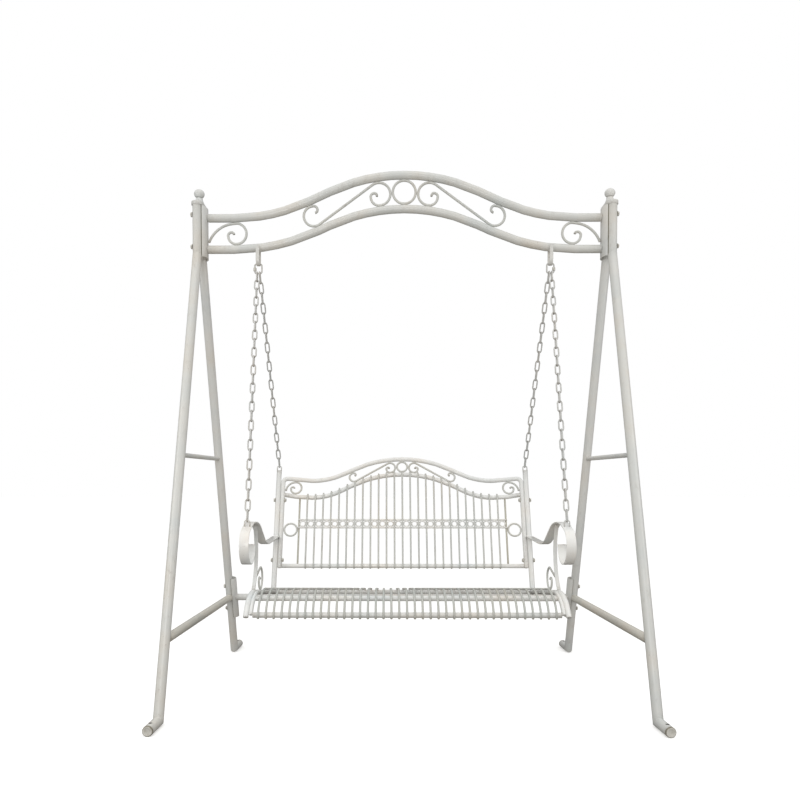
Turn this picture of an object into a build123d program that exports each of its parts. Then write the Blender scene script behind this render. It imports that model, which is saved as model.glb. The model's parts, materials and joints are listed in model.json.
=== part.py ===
from build123d import *
import math
import os

# A garden swing: a slatted bench on four chains under an arched beam, between two A-shaped side frames.
# Millimetres, +Z up, the sitter faces -Y. The origin is on the ground, midway between the four feet.

os.makedirs("parts", exist_ok=True)

# Stand: side frames
frame_spacing = 1633.4  # between the mid planes of the two side frames
toe_angle = 1.9  # degrees that each side frame is turned, its front foot outwards
leg_diameter = 36.0
leg_spread = 1023.0  # between the axes of front and rear leg, on the ground
foot_length = 94.5  # from the leg's axis on the ground to the tip of its foot
foot_plug_length = 8.0
foot_plug_chamfer = 3.0
post_spacing = 65.0  # between the axes of the two posts of a side
post_rise = 39.0  # of the posts' tops above the axis of the upper beam tube's ends
bend_rise = 12.0  # from the bracket's lower end up to where the leaning legs turn into posts
upper_crossbar_diameter = 18.0
upper_crossbar_height = 915.0
lower_crossbar_diameter = 30.0
lower_crossbar_height = 274.0
stretcher_diameter = 30.0
stretcher_height = 275.0

# Stand: beam of two arched tubes with scrolls between them
beam_diameter = 32.0
beam_spacing = 133.0  # between the axes of the two tubes at the crown
beam_top = 2050.0
upper_beam_rise = 168.0  # from the level ends to the crown
lower_beam_rise = 159.0
crown_radius = 711.0
crown_angle = 24.5  # degrees on each side of the middle
beam_level_run = 103.0  # level end of each tube, measured from the bracket's crest
scroll_diameter = 10.0
end_scroll_place = 670.0  # from the middle to the axis of the end scroll
end_scroll_rise = 7.0  # from the lower tube up to the tail of the end scroll
slope_scroll_place = 360.5  # from the middle to the lower curl of the long scroll

# Brackets that carry the beam and the rear stretcher
bracket_wall = 4.0
bracket_drop = 36.0  # of the bracket's lower end below the axis of the lower beam tube's ends
bracket_half_width = 46.0
bracket_depth = 20.7
bracket_inset = 12.0  # from the post's axis to the bracket's open side
saddle_height = 195.0
saddle_half_width = 18.0
saddle_depth = 22.0
saddle_inset = 14.0
saddle_wall = 3.0

# Screws
screw_flats = 15.0  # across the flats of the head
screw_head_height = 7.0
top_screw_margin = 37.0  # from the bracket's ends to its screws
saddle_screw_margin = 42.0

# Finials
finial_length = 104.0
finial_width = 44.0
finial_rim = 6.0
finial_rise = 39.0  # from the posts' tops to the neck
finial_neck = 24.0
ball_diameter = 40.0

# Hangers: a strap round the lower tube, and an oval ring that both chains hang on
hanger_place = 582.5  # from the middle
strap_width = 14.0
strap_thickness = 5.0
strap_drop = 56.0  # from the underside of the tube to the strap's outer face
strap_lap = 8.0  # above the tube's axis
ring_wire = 6.0
ring_width = 34.0
ring_height = 44.0
ring_corner = 5.0
chain_splay = 5.0  # from the ring's middle to each chain's first link
running_gap = 0.3

# Chains
link_wire = 5.0
link_width = 21.0
front_links = 27
rear_links = 21

# Seat: side frames
seat_spacing = 1106.0  # between the mid planes of the two sides
balance_shift = 3.9  # of the whole seat towards the rear, so that it hangs level
post_diameter = 22.0
recline_angle = 18.96  # degrees
back_post_rise = 47.5  # of the back posts' tops above the ends of the panel's arch
seat_back_depth = 149.0  # from the hanging point back to the foot of the back posts
seat_back_height = 345.0
rail_diameter = 19.0
rail_slope = 9.0  # degrees
rail_run = 454.0
nose_radius = 141.0
nose_turn = 63.0  # degrees
eye_wire = 5.0
eye_width = 23.0
eye_height = 25.0

# Seat: arms
arm_width = 33.0
arm_thickness = 4.0
arm_join_height = 575.0
arm_dip_forward = 31.0
arm_dip_height = 569.0
arm_crest_forward = 330.0
arm_crest_height = 672.0
arm_nose_forward = 430.0
arm_drum_radius = 62.0
arm_drum_turn = 247.0  # degrees
arm_eye_forward = 404.0
support_width = 14.0
support_thickness = 5.0
support_foot_forward = 300.0
support_waist_forward = 244.0
support_waist_height = 520.0
support_top_forward = 262.0
arm_scroll_diameter = 8.0
arm_scroll_forward = 158.0
arm_scroll_radius = 41.0

# Seat: slatted panel
seat_rod_count = 39
seat_rod_side = 7.1
edge_tube_diameter = 14.0
rear_tube_setback = 24.0  # from the back posts' foot, along the rail

# Back panel
panel_tube_diameter = 19.0
panel_base = 112.8  # of the bottom rail's axis, up along the recline
panel_crown = 603.5
panel_spacing = 73.0  # between the axes of the two arches at the crown
panel_arch_drop = 103.0
inner_arch_drop = 109.0
panel_radius = 503.0
panel_angle = 27.0  # degrees
panel_level_place = 401.0
panel_end_radius = 600.0
panel_corner_radius = 20.0
back_rod_count = 25
back_rod_pitch = 35.0
back_rod_side = 6.6
back_hook_turn = 55.0  # degrees that each end bends round its tube
inner_stile_diameter = 8.0
band_rod_side = 5.5
band_height = 35.0
lower_screw_rise = 25.2  # above the bottom rail
upper_screw_drop = 90.5  # below the ends of the panel's arch
panel_scroll_diameter = 8.5
panel_end_scroll_place = 476.0
panel_end_scroll_rise = 6.0
panel_slope_scroll_place = 216.0

# Shares and step sizes that shape the curls
end_curl_shares = [(0.8, 90), (0.33, 90), (0.26, 80)]
inner_curl_shares = [(0.75, 90), (0.33, 90), (0.22, 110)]
lower_curl_shares = [(0.38, 90), (0.30, 80)]
arm_curl_shares = [(0.8, 90), (0.33, 90), (0.26, 80)]
arm_tail_turn = 30.0  # degrees from the arm scroll's crest to its end on the support
hook_turn = 50.0  # degrees that a seat rod bends under the front tube
eye_corner_share = 0.5  # of an eye's half width that its corners take
band_share = 0.549  # of the way from the bottom rail to the inner arch's ends
side_ring_share = 0.522
link_end_share = 0.5  # of a link's width that its flat tip takes
cap_shares = [(0, 0), (0.35, 0.6), (1, 1)]  # rise and drawing-in of the finial's cap
neck_share = 1.1  # length of the neck to its width
ball_latitudes = [-56, -25, 5, 35, 65, 80]  # degrees
scroll_step = 30.0  # degrees of one straight facet
tube_step = 11.0
corner_step = 26.0
nose_step = 16.0
arm_step = 18.0
nose_corners = 2
hook_corners = 1
support_pieces = 6
screw_sides = 6
leg_sides = 16
tube_sides = 12
seat_tube_sides = 8
rod_sides = 6
scroll_sides = 5
ring_facets = 12
band_ring_facets = 6
oval_facets = 8
cap_facets = 5
solve_steps = 40

# Values worked out from the sizes above
beam_radius = beam_diameter / 2
upper_crown = beam_top - beam_radius
lower_crown = upper_crown - beam_spacing
post_top = upper_crown - upper_beam_rise + post_rise
bracket_base = lower_crown - lower_beam_rise - bracket_drop
bracket_height = post_top - bracket_base
bend_height = bracket_base + bend_rise
leg_radius = leg_diameter / 2
foot_height = leg_radius * math.cos(math.pi / leg_sides)
half_frame = frame_spacing / 2
half_seat = seat_spacing / 2
post_place = post_spacing / 2
leg_reach = leg_spread / 2
foot_reach = leg_reach + foot_length
panel_arch_end = panel_crown - panel_arch_drop
inner_arch_end = panel_crown - panel_spacing - inner_arch_drop
back_post_length = panel_arch_end + back_post_rise
band_base = panel_base + (inner_arch_end - panel_base) * band_share
side_ring_height = panel_base + (inner_arch_end - panel_base) * side_ring_share
bracket_crest = half_frame - bracket_inset - bracket_depth
leg_lean = math.degrees(math.atan((leg_reach - post_place) / bend_height))


# Drawing helpers

def trace(start, heading, steps, step_angle):
    """Points along straights (length, 0) and arcs (radius, turn in degrees, left is positive)."""
    across, up = start
    points = [(across, up)]
    for size, turn in steps:
        count = max(1, math.ceil(abs(turn) / step_angle))
        part = turn / count
        reach = size if turn == 0 else 2 * size * math.sin(math.radians(abs(part) / 2))
        for _ in range(count):
            direction = math.radians(heading + part / 2)
            across += reach * math.cos(direction)
            up += reach * math.sin(direction)
            heading += part
            points.append((across, up))
    return points


def corners(start, heading, steps):
    """As trace, but arcs (radius, turn, count) become straight runs that touch them from outside."""
    across, up = start
    points = [(across, up)]
    run = 0
    for size, turn, count in steps:
        part = turn / count
        half = 0 if turn == 0 else size * math.tan(math.radians(abs(part) / 2))
        run += size if turn == 0 else 0
        for _ in range(count if turn else 0):
            run += half
            across += run * math.cos(math.radians(heading))
            up += run * math.sin(math.radians(heading))
            heading += part
            run = half
            points.append((across, up))
    points.append((across + run * math.cos(math.radians(heading)), up + run * math.sin(math.radians(heading))))
    return points


def bar(plane, points, section, level=0):
    """Sweep a section along points of a plane, with mitred corners."""
    places = [plane.from_local_coords((across, up, level)) for across, up in points]
    path = Polyline(*places)
    start = Plane(origin=places[0], x_dir=plane.z_dir, z_dir=places[1] - places[0])
    return sweep(start * section, path=path, transition=Transition.RIGHT)


def closed_bar(plane, half_line, section, level=0):
    """A closed ring from half its line, which begins and ends in the middle of a facet."""
    half = bar(plane, half_line, section, level)
    middle = ((half_line[0][0] + half_line[-1][0]) / 2, (half_line[0][1] + half_line[-1][1]) / 2)
    axis = Axis(plane.from_local_coords((*middle, level)), plane.z_dir)
    return half + half.rotate(axis, 180)


def loop(plane, center, radius, sides, section, level=0):
    """A round ring with an even number of straight facets."""
    corner = radius / math.cos(math.pi / sides)
    turns = [math.pi * (2 * number + 1) / sides - math.pi / 2 for number in range(sides // 2)]
    half = [(center[0] + corner * math.cos(turn), center[1] + corner * math.sin(turn)) for turn in turns]
    foot = (center[0], center[1] - radius)
    head = (center[0], center[1] + radius)
    return closed_bar(plane, [foot] + half + [head], section, level)


def tube(start, end, diameter, sides):
    """A straight tube between two points."""
    start = Vector(*start)
    end = Vector(*end)
    return extrude(Plane(origin=start, z_dir=end - start) * faceted(diameter, sides), (end - start).length)


def faceted(diameter, sides, flat=False):
    """A round section drawn with straight sides; flat turns a side, not a corner, downwards."""
    return RegularPolygon(diameter / 2, sides, rotation=180 / sides if flat else 0)


def square(side):
    return Rectangle(side, side)


def largest(shape):
    """The main solid of a cut, without its offcuts."""
    return max(shape.solids(), key=lambda solid: solid.volume)


def mirrored(shape):
    return mirror(shape, about=Plane.YZ)


def save(name, *shapes):
    """Write one node: a single solid, or several separate solids."""
    solids = [solid for shape in shapes for solid in shape.solids()]
    node = solids[0] if len(solids) == 1 else Compound(children=solids)
    node.label = name
    export_step(node, f"parts/{name}.step")


def save_pair(name, *shapes):
    """Write what is on the right side, and its mirror image for the left, as a node each."""
    save(f"{name}_right", *shapes)
    save(f"{name}_left", *[mirrored(shape) for shape in shapes])


def save_both(name, *shapes):
    """Write what is on the right side together with its mirror image, as separate solids of one node."""
    save(name, *shapes, *[mirrored(shape) for shape in shapes])


stand_plane = Plane.XZ
side_plane = Plane(origin=(half_seat, balance_shift, 0), x_dir=(0, -1, 0), z_dir=(-1, 0, 0))
recline = math.radians(recline_angle)
panel_plane = Plane(
    origin=(0, seat_back_depth + balance_shift, seat_back_height),
    x_dir=(1, 0, 0),
    z_dir=(0, -math.cos(recline), math.sin(recline)),
)


# Curved lines that several pieces follow

def arch_half(crown, drop, radius, angle, level_place, ending):
    """Right half of an arch: crown arc, short straight, then an arc back to level, then its ending."""
    lean = math.radians(angle)
    across = level_place - radius * math.sin(lean)
    down = drop - radius * (1 - math.cos(lean))
    spread = math.sin(lean) ** 2 - (1 - math.cos(lean)) * math.cos(lean)
    back_radius = (across * math.sin(lean) - down * math.cos(lean)) / spread
    straight = (down * math.sin(lean) - across * (1 - math.cos(lean))) / spread
    steps = [(radius, -angle), (straight, 0), (back_radius, angle)] + ending
    return trace((0, crown), 0, steps, tube_step)


def whole(half):
    """Both halves of a line that begins on the middle plane."""
    return [(-across, up) for across, up in reversed(half[1:])] + half


def distance(point, line):
    """From a point to the nearest place on a line of straight pieces."""
    nearest = math.inf
    for (ax, ay), (bx, by) in zip(line, line[1:]):
        dx = bx - ax
        dy = by - ay
        share = ((point[0] - ax) * dx + (point[1] - ay) * dy) / (dx * dx + dy * dy)
        share = min(1, max(0, share))
        nearest = min(nearest, math.hypot(point[0] - ax - share * dx, point[1] - ay - share * dy))
    return nearest


def height_at(line, across):
    """Height of a line at one place across."""
    for (ax, ay), (bx, by) in zip(line, line[1:]):
        if ax <= across <= bx:
            return ay + (by - ay) * (across - ax) / (bx - ax)
    return line[-1][1]


def between(upper, lower, across, room):
    """Centre and radius of a round curl that touches the tubes above and below it."""
    low = height_at(lower, across)
    high = height_at(upper, across)
    for _ in range(solve_steps):
        middle = (low + high) / 2
        if distance((across, middle), lower) < distance((across, middle), upper):
            low = middle
        else:
            high = middle
    return (across, middle), distance((across, middle), upper) - room


def curl(radius, shares):
    return [(radius * share, -turn) for share, turn in shares]


def end_scroll(upper, lower, place, tail_end, tail_rise, room):
    """A scroll on the left: its tail rises from the end and rolls in under the upper tube."""
    center, radius = between(upper, lower, -place, room)
    top = (center[0], center[1] + radius)
    across = tail_end - place
    drop = top[1] - (height_at(lower, -tail_end) + room + tail_rise)
    tail_turn = 2 * math.degrees(math.atan(drop / across))
    tail_radius = across / math.sin(math.radians(tail_turn))
    tail = trace(top, 180, [(tail_radius, tail_turn)], scroll_step)
    rolled = trace(top, 0, [(radius, -180)] + curl(radius, end_curl_shares), scroll_step)
    return list(reversed(tail)) + rolled[1:]


def long_scroll(upper, lower, place, ring_center, ring_radius, scroll_width, room):
    """A scroll on the left that climbs from a lower curl to a curl that touches the middle ring."""
    low_center, low_radius = between(upper, lower, -place, room)
    near = -ring_radius
    far = -place
    for _ in range(solve_steps):
        middle = (near + far) / 2
        high_center, high_radius = between(upper, lower, middle, room)
        spacing = math.hypot(high_center[0] - ring_center[0], high_center[1] - ring_center[1])
        if spacing < ring_radius + high_radius + scroll_width:
            near = middle
        else:
            far = middle
    across = high_center[0] - low_center[0]
    up = high_center[1] - low_center[1]
    climb = math.atan2(up, across) + math.asin((low_radius + high_radius) / math.hypot(across, up))
    side = (-math.sin(climb), math.cos(climb))
    foot = (low_center[0] - low_radius * side[0], low_center[1] - low_radius * side[1])
    head = (high_center[0] + high_radius * side[0], high_center[1] + high_radius * side[1])
    climb = math.degrees(climb)
    below = [(low_radius, -climb - 180)] + curl(low_radius, lower_curl_shares)
    above = [(high_radius, -climb - 180)] + curl(high_radius, inner_curl_shares)
    return list(reversed(trace(foot, climb + 180, below, scroll_step))) + trace(head, climb, above, scroll_step)


def flipped(points):
    return [(-across, up) for across, up in reversed(points)]


# Stand

def leg_place(height):
    """Distance of a leg's axis from the side frame's middle, at a height."""
    return post_place + (leg_reach - post_place) * (bend_height - height) / bend_height


def to_side(shape):
    """Move a piece drawn round the Z axis, with the inner side at -X, to the right side frame."""
    return Pos(half_frame, 0, 0) * Rot(0, 0, toe_angle) * shape


frame_plane = Plane(origin=(0, 0, 0), x_dir=(0, -1, 0), z_dir=(-1, 0, 0))
seam_plane = Plane(
    origin=(0, -post_place, bend_height),
    z_dir=(0, math.sin(math.radians(leg_lean / 2)), math.cos(math.radians(leg_lean / 2))),
)


def upright():
    """Front leg, foot and post of a side in one run."""
    heel = (leg_place(foot_height), foot_height)
    tip = (foot_reach - foot_plug_length, foot_height)
    line = [tip, heel, (post_place, bend_height), (post_place, post_top)]
    return bar(frame_plane, line, faceted(leg_diameter, leg_sides, flat=True))


def foot_plug():
    base = extrude(faceted(leg_diameter, leg_sides, flat=True), foot_plug_length - foot_plug_chamfer)
    rim = Pos(0, 0, foot_plug_length - foot_plug_chamfer) * faceted(leg_diameter, leg_sides, flat=True)
    face = Pos(0, 0, foot_plug_length) * faceted(leg_diameter - 2 * foot_plug_chamfer, leg_sides, flat=True)
    plug = base + loft([rim, face], ruled=True)
    return Pos(0, foot_plug_length - foot_reach, foot_height) * Rot(90, 0, 0) * plug


front_upright = upright()
front_leg = split(front_upright, bisect_by=seam_plane, keep=Keep.BOTTOM)
front_post = split(front_upright, bisect_by=seam_plane, keep=Keep.TOP)
rear_leg = mirror(front_leg, about=Plane.XZ)
rear_post = mirror(front_post, about=Plane.XZ)


def crossbar(height, diameter):
    """A bar from leg to leg, its ends cut to the legs' round."""
    reach = leg_place(height)
    whole_bar = tube((0, -reach, height), (0, reach, height), diameter, tube_sides)
    return largest(whole_bar - front_leg - rear_leg - saddle_core())


def half_oval(half_width, depth):
    """Half an oval, bulging towards -X from the Y axis."""
    turns = [math.pi * number / oval_facets for number in range(oval_facets + 1)]
    return [(-depth * math.sin(turn), half_width * math.cos(turn)) for turn in turns]


def channel_section(half_width, depth, wall):
    """Half an oval plate, open towards +X."""
    outline = half_oval(half_width, depth) + list(reversed(half_oval(half_width - wall, depth - wall)))
    return make_face(Polyline(*outline, close=True))


def channel_core(half_width, depth, height):
    """The outer form of a bracket, for cutting what ends on it."""
    return extrude(make_face(Polyline(*half_oval(half_width, depth), close=True)), height)


def beam_bracket():
    """The oval plate that joins both posts of a side and carries the beam."""
    section = channel_section(bracket_half_width, bracket_depth, bracket_wall)
    plate = Pos(-bracket_inset, 0, bracket_base) * extrude(section, bracket_height)
    return largest(plate - front_upright - mirror(front_upright, about=Plane.XZ))


saddle_place = Plane(
    origin=(0, leg_place(stretcher_height), stretcher_height),
    x_dir=(1, 0, 0),
    z_dir=(0, -math.sin(math.radians(leg_lean)), math.cos(math.radians(leg_lean))),
)


def saddle_core():
    core = channel_core(saddle_half_width, saddle_depth, saddle_height)
    return saddle_place * Pos(-saddle_inset, 0, -saddle_height / 2) * core


def saddle():
    """The curved plate between a rear leg and the stretcher, leaning with the leg."""
    section = channel_section(saddle_half_width, saddle_depth, saddle_wall)
    plate = Pos(-saddle_inset, 0, -saddle_height / 2) * extrude(section, saddle_height)
    return largest(saddle_place * plate - rear_leg)


def stretcher():
    """The low tube between the rear legs, its ends cut to the saddles' round."""
    core = to_side(saddle_core())
    middle = to_side(Pos(0, leg_place(stretcher_height), stretcher_height) * Sphere(leg_radius)).center()
    end = middle.X - saddle_inset
    bar_shape = tube((-end, middle.Y, stretcher_height), (end, middle.Y, stretcher_height), stretcher_diameter,
                     tube_sides)
    return largest(bar_shape - core - mirrored(core))


def screw_head():
    """A hexagon head with its seat at the origin, standing along +X."""
    head = extrude(RegularPolygon(screw_flats / 2, screw_sides, major_radius=False), screw_head_height)
    return Rot(0, 90, 0) * head


def cap_outline(length, width):
    """A section of the cap: straight sides and faceted round ends, along the side frame."""
    turns = [math.pi * number / cap_facets for number in range(cap_facets + 1)]
    half = [(width / 2 * math.cos(turn), (length - width + width * math.sin(turn)) / 2) for turn in turns]
    return make_face(Polyline(*half, *[(-across, -along) for across, along in half], close=True))


def finial():
    """The cap over both posts of a side, drawn in to a neck with a ball."""
    sections = [Pos(0, 0, post_top) * cap_outline(finial_length, finial_width)]
    for rise_share, inward_share in cap_shares:
        width = finial_width + (finial_neck - finial_width) * inward_share
        length = finial_length + (finial_neck * neck_share - finial_length) * inward_share
        rise = finial_rim + (finial_rise - finial_rim) * rise_share
        sections.append(Pos(0, 0, post_top + rise) * cap_outline(length, width))
    ball_center = post_top + finial_rise + math.sqrt(ball_diameter**2 - finial_neck**2) / 2
    rings = []
    for latitude in ball_latitudes:
        turn = math.radians(latitude)
        ring = faceted(ball_diameter * math.cos(turn), tube_sides)
        rings.append(Pos(0, 0, ball_center + ball_diameter / 2 * math.sin(turn)) * ring)
    return loft(sections, ruled=True) + loft(rings, ruled=True)


beam_level_place = bracket_crest - beam_level_run
beam_end = [(beam_level_run + bracket_depth / 2, 0)]
upper_line = whole(arch_half(upper_crown, upper_beam_rise, crown_radius, crown_angle, beam_level_place, beam_end))
lower_line = whole(arch_half(lower_crown, lower_beam_rise, crown_radius, crown_angle, beam_level_place, beam_end))


def beam_tube(line):
    core = Pos(-bracket_inset, 0, bracket_base) * channel_core(bracket_half_width, bracket_depth, bracket_height)
    core = to_side(core)
    return largest(bar(stand_plane, line, faceted(beam_diameter, tube_sides)) - core - mirrored(core))


def beam_scrolls():
    """Ring in the middle, two long scrolls and two end scrolls between the beam's tubes."""
    room = beam_radius + scroll_diameter / 2
    section = faceted(scroll_diameter, scroll_sides)
    middle = (0, (upper_crown + lower_crown) / 2)
    ring_radius = beam_spacing / 2 - room
    tail_end = bracket_crest - scroll_diameter / 2
    end = end_scroll(upper_line, lower_line, end_scroll_place, tail_end, end_scroll_rise, room)
    long = long_scroll(upper_line, lower_line, slope_scroll_place, middle, ring_radius, scroll_diameter, room)
    save("beam_ring", loop(stand_plane, middle, ring_radius, ring_facets, section))
    save_both("beam_end_scrolls", bar(stand_plane, flipped(end), section))
    save_both("beam_long_scrolls", bar(stand_plane, flipped(long), section))


hanger_height = height_at(lower_line, hanger_place)
strap_bottom = hanger_height - beam_radius - strap_drop
pivot_height = strap_bottom + strap_thickness + running_gap + ring_wire / 2
ring_drop = ring_height - ring_wire
link_pivot_height = pivot_height - ring_drop


def hanger_strap():
    """A flat bar bent to a U round the lower tube."""
    reach = beam_radius + strap_thickness / 2
    top = hanger_height + strap_lap
    depth = top - strap_bottom - strap_thickness / 2 - reach
    steps = [(depth, 0), (reach, 180), (depth, 0)]
    line = trace((-reach, top), -90, steps, scroll_step)
    plane = Plane(origin=(hanger_place, 0, 0), x_dir=(0, -1, 0), z_dir=(-1, 0, 0))
    return bar(plane, line, Rectangle(strap_width, strap_thickness))


def hanger_ring():
    """The oval ring in the strap, with short flats where strap and links bear."""
    half_width = (ring_width - ring_wire) / 2
    middle = pivot_height - ring_drop / 2
    half_height = ring_drop / 2
    half_line = [(0, -half_height), (half_width - ring_corner, -half_height)]
    half_line += [(half_width, ring_corner - half_height), (half_width, half_height - ring_corner)]
    half_line += [(half_width - ring_corner, half_height), (0, half_height)]
    line = [(hanger_place + across, middle + up) for across, up in half_line]
    return closed_bar(stand_plane, line, faceted(ring_wire, rod_sides))


# Seat

rail_end = [(rail_run, 0), (nose_radius, -nose_turn)]
rail_line = trace((-seat_back_depth, seat_back_height), rail_slope, rail_end, nose_step)
front_heading = math.radians(rail_slope - nose_turn)
front_tube_place = rail_line[-1]


def rail_height(forward):
    return height_at(rail_line, forward)


def side_rail():
    """The tube under the arm, from the back post over the nose."""
    end = (front_tube_place[0] + rail_diameter / 2 * math.cos(front_heading),
           front_tube_place[1] + rail_diameter / 2 * math.sin(front_heading))
    return largest(bar(side_plane, rail_line + [end], faceted(rail_diameter, seat_tube_sides)) - back_post())


def back_post():
    """The leaning tube behind the arm, with its foot on the rail."""
    low = panel_plane.from_local_coords((half_seat, -rail_diameter / 2, 0))
    high = panel_plane.from_local_coords((half_seat, back_post_length, 0))
    return tube(low, high, post_diameter, tube_sides)


def staple(plane, center, level):
    """A small arched eye for the last link: two legs and a flat top."""
    half = (eye_width - eye_wire) / 2
    corner = half * eye_corner_share
    head = level + eye_height - eye_wire / 2
    line = [(center - half, level), (center - half, head - corner), (center - half + corner, head),
            (center + half - corner, head), (center + half, head - corner), (center + half, level)]
    return bar(plane, line, faceted(eye_wire, rod_sides))


def arm_line():
    """Side view of the arm band, from the back post forwards and round the drum."""
    climb = 2 * math.degrees(math.atan((arm_crest_height - arm_dip_height) / (arm_crest_forward - arm_dip_forward)))
    wave_radius = (arm_crest_forward - arm_dip_forward) / 2 / math.sin(math.radians(climb))
    nose_drop = math.degrees(math.asin((arm_nose_forward - arm_crest_forward) / wave_radius))
    steps = [(wave_radius, climb), (wave_radius, -climb), (wave_radius, -nose_drop)]
    steps += [(arm_drum_radius, -arm_drum_turn)]
    front = trace((arm_dip_forward, arm_dip_height), 0, steps, arm_step)
    join = -seat_back_depth - (arm_join_height - seat_back_height) * math.tan(recline)
    return [(join, arm_join_height)] + front


arm_path = arm_line()


def arm_band():
    band = bar(side_plane, arm_path, Rectangle(arm_width, arm_thickness))
    return largest(band - back_post() - panel_tube(outer_line))


def arm_support():
    """The bowed flat bar between rail and arm."""
    foot = (support_foot_forward, rail_height(support_foot_forward) + rail_diameter / 2)
    top = (support_top_forward, height_at(arm_path, support_top_forward) - arm_thickness / 2)
    waist = (support_waist_forward, support_waist_height)
    curve = ThreePointArc(foot, waist, top)
    places = [curve @ (number / support_pieces) for number in range(support_pieces + 1)]
    line = [(place.X, place.Y) for place in places]
    support = bar(side_plane, line, Rectangle(support_width, support_thickness))
    return largest(support - arm_band() - side_rail())


def arm_scroll():
    """The scroll behind the support, resting on the rail."""
    room = arm_scroll_diameter / 2 + rail_diameter / 2
    facet_reach = arm_scroll_radius * math.cos(math.radians(scroll_step / 2))
    rise = (facet_reach + room) / math.cos(math.radians(rail_slope))
    top = (arm_scroll_forward, rail_height(arm_scroll_forward) + rise + arm_scroll_radius)
    reach = support_waist_forward - arm_scroll_forward
    tail_radius = reach / math.sin(math.radians(arm_tail_turn))
    tail = trace(top, 0, [(tail_radius, -arm_tail_turn)], scroll_step)
    rolled = trace(top, 180, [(arm_scroll_radius, 180)], scroll_step)
    inner = trace(rolled[-1], 360, [(size, -turn) for size, turn in curl(arm_scroll_radius, arm_curl_shares)],
                  scroll_step)
    line = list(reversed(tail)) + rolled[1:] + inner[1:]
    return largest(bar(side_plane, line, faceted(arm_scroll_diameter, scroll_sides)) - arm_support())


edge_tube_place = half_seat - rail_diameter / 2 - edge_tube_diameter / 2
rod_pitch = 2 * edge_tube_place / (seat_rod_count + 1)
cross_reach = edge_tube_place - edge_tube_diameter / 2


def edge_tube():
    """The slatted panel's own side tube, along the rail."""
    plane = Plane(origin=(edge_tube_place, balance_shift, 0), x_dir=(0, -1, 0), z_dir=(-1, 0, 0))
    return bar(plane, [along_rail(rear_tube_setback - rail_diameter / 2)] + rail_line[1:],
               faceted(edge_tube_diameter, seat_tube_sides))


def cross_tube(place):
    forward, up = place
    left = (-cross_reach, balance_shift - forward, up)
    right = (cross_reach, balance_shift - forward, up)
    return tube(left, right, rail_diameter, seat_tube_sides)


def along_rail(run):
    return trace((-seat_back_depth, seat_back_height), rail_slope, [(run, 0)], nose_step)[-1]


def seat_rod():
    """One slat rod: along the seat, over the nose and under the front tube."""
    lift = rail_diameter / 2 + seat_rod_side / 2
    lean = math.radians(rail_slope)
    start = along_rail(rear_tube_setback - rail_diameter / 2)
    start = (start[0] - lift * math.sin(lean), start[1] + lift * math.cos(lean))
    run = rail_run - rear_tube_setback + rail_diameter / 2
    steps = [(run, 0, 1), (nose_radius + lift, -nose_turn, nose_corners),
             (lift, -hook_turn, hook_corners)]
    line = corners(start, rail_slope, steps)
    plane = Plane(origin=(0, balance_shift, 0), x_dir=(0, -1, 0), z_dir=(-1, 0, 0))
    return bar(plane, line, square(seat_rod_side))


# Back panel

panel_stile_place = half_seat - post_diameter / 2 - panel_tube_diameter / 2
corner_lift = math.degrees(math.asin(
    (panel_stile_place - panel_corner_radius - panel_level_place) / (panel_end_radius + panel_corner_radius)))
outer_half = arch_half(panel_crown, panel_arch_drop, panel_radius, panel_angle, panel_level_place,
                       [(panel_end_radius, corner_lift)])
outer_corner = trace(outer_half[-1], corner_lift, [(panel_corner_radius, -corner_lift - 90)], corner_step)
stile_base = panel_base - panel_tube_diameter / 2
outer_line = whole(outer_half + outer_corner[1:] + [(outer_corner[-1][0], stile_base)])
inner_end = math.degrees(math.asin((panel_stile_place - panel_level_place) / panel_end_radius))
inner_line = whole(arch_half(panel_crown - panel_spacing, inner_arch_drop, panel_radius, panel_angle,
                             panel_level_place, [(panel_end_radius, inner_end)]))
arch_only = whole(outer_half)


def panel_tube(line):
    return bar(panel_plane, line, faceted(panel_tube_diameter, seat_tube_sides))


def back_rod(across):
    """One back rod: in front of the rails, hooked under the lower and over the arch."""
    lift = panel_tube_diameter / 2 + back_rod_side / 2
    before = height_at(inner_line, across - back_rod_side)
    after = height_at(inner_line, across + back_rod_side)
    slant = math.hypot(1, (after - before) / (2 * back_rod_side))
    top = height_at(inner_line, across)
    turn = math.radians(back_hook_turn)
    hook = [(lift, lift * math.tan(turn / 2)), (lift * math.cos(turn), lift * math.sin(turn))]
    line = [(out, panel_base - up) for out, up in reversed(hook)] + [(out, top + up * slant) for out, up in hook]
    places = [panel_plane.from_local_coords((across, up, out)) for out, up in line]
    start = Plane(origin=places[0], x_dir=(1, 0, 0), z_dir=places[1] - places[0])
    return sweep(start * square(back_rod_side), path=Polyline(*places), transition=Transition.RIGHT)


inner_stile_place = back_rod_pitch * (back_rod_count + 1) / 2
band_level = inner_stile_diameter / 2 + band_rod_side / 2


def inner_stile():
    """The thicker rod beside the panel, from the bottom rail up to the inner arch."""
    before = height_at(inner_line, inner_stile_place - inner_stile_diameter)
    after = height_at(inner_line, inner_stile_place + inner_stile_diameter)
    slant = math.hypot(1, (after - before) / (2 * inner_stile_diameter))
    top = height_at(inner_line, inner_stile_place) - panel_tube_diameter / 2 * slant
    low = panel_plane.from_local_coords((inner_stile_place, panel_base + panel_tube_diameter / 2, 0))
    high = panel_plane.from_local_coords((inner_stile_place, top, 0))
    return tube(low, high, inner_stile_diameter, rod_sides)


def bottom_rail():
    reach = panel_stile_place - panel_tube_diameter / 2
    left = panel_plane.from_local_coords((-reach, panel_base, 0))
    right = panel_plane.from_local_coords((reach, panel_base, 0))
    return tube(left, right, panel_tube_diameter, seat_tube_sides)


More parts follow.
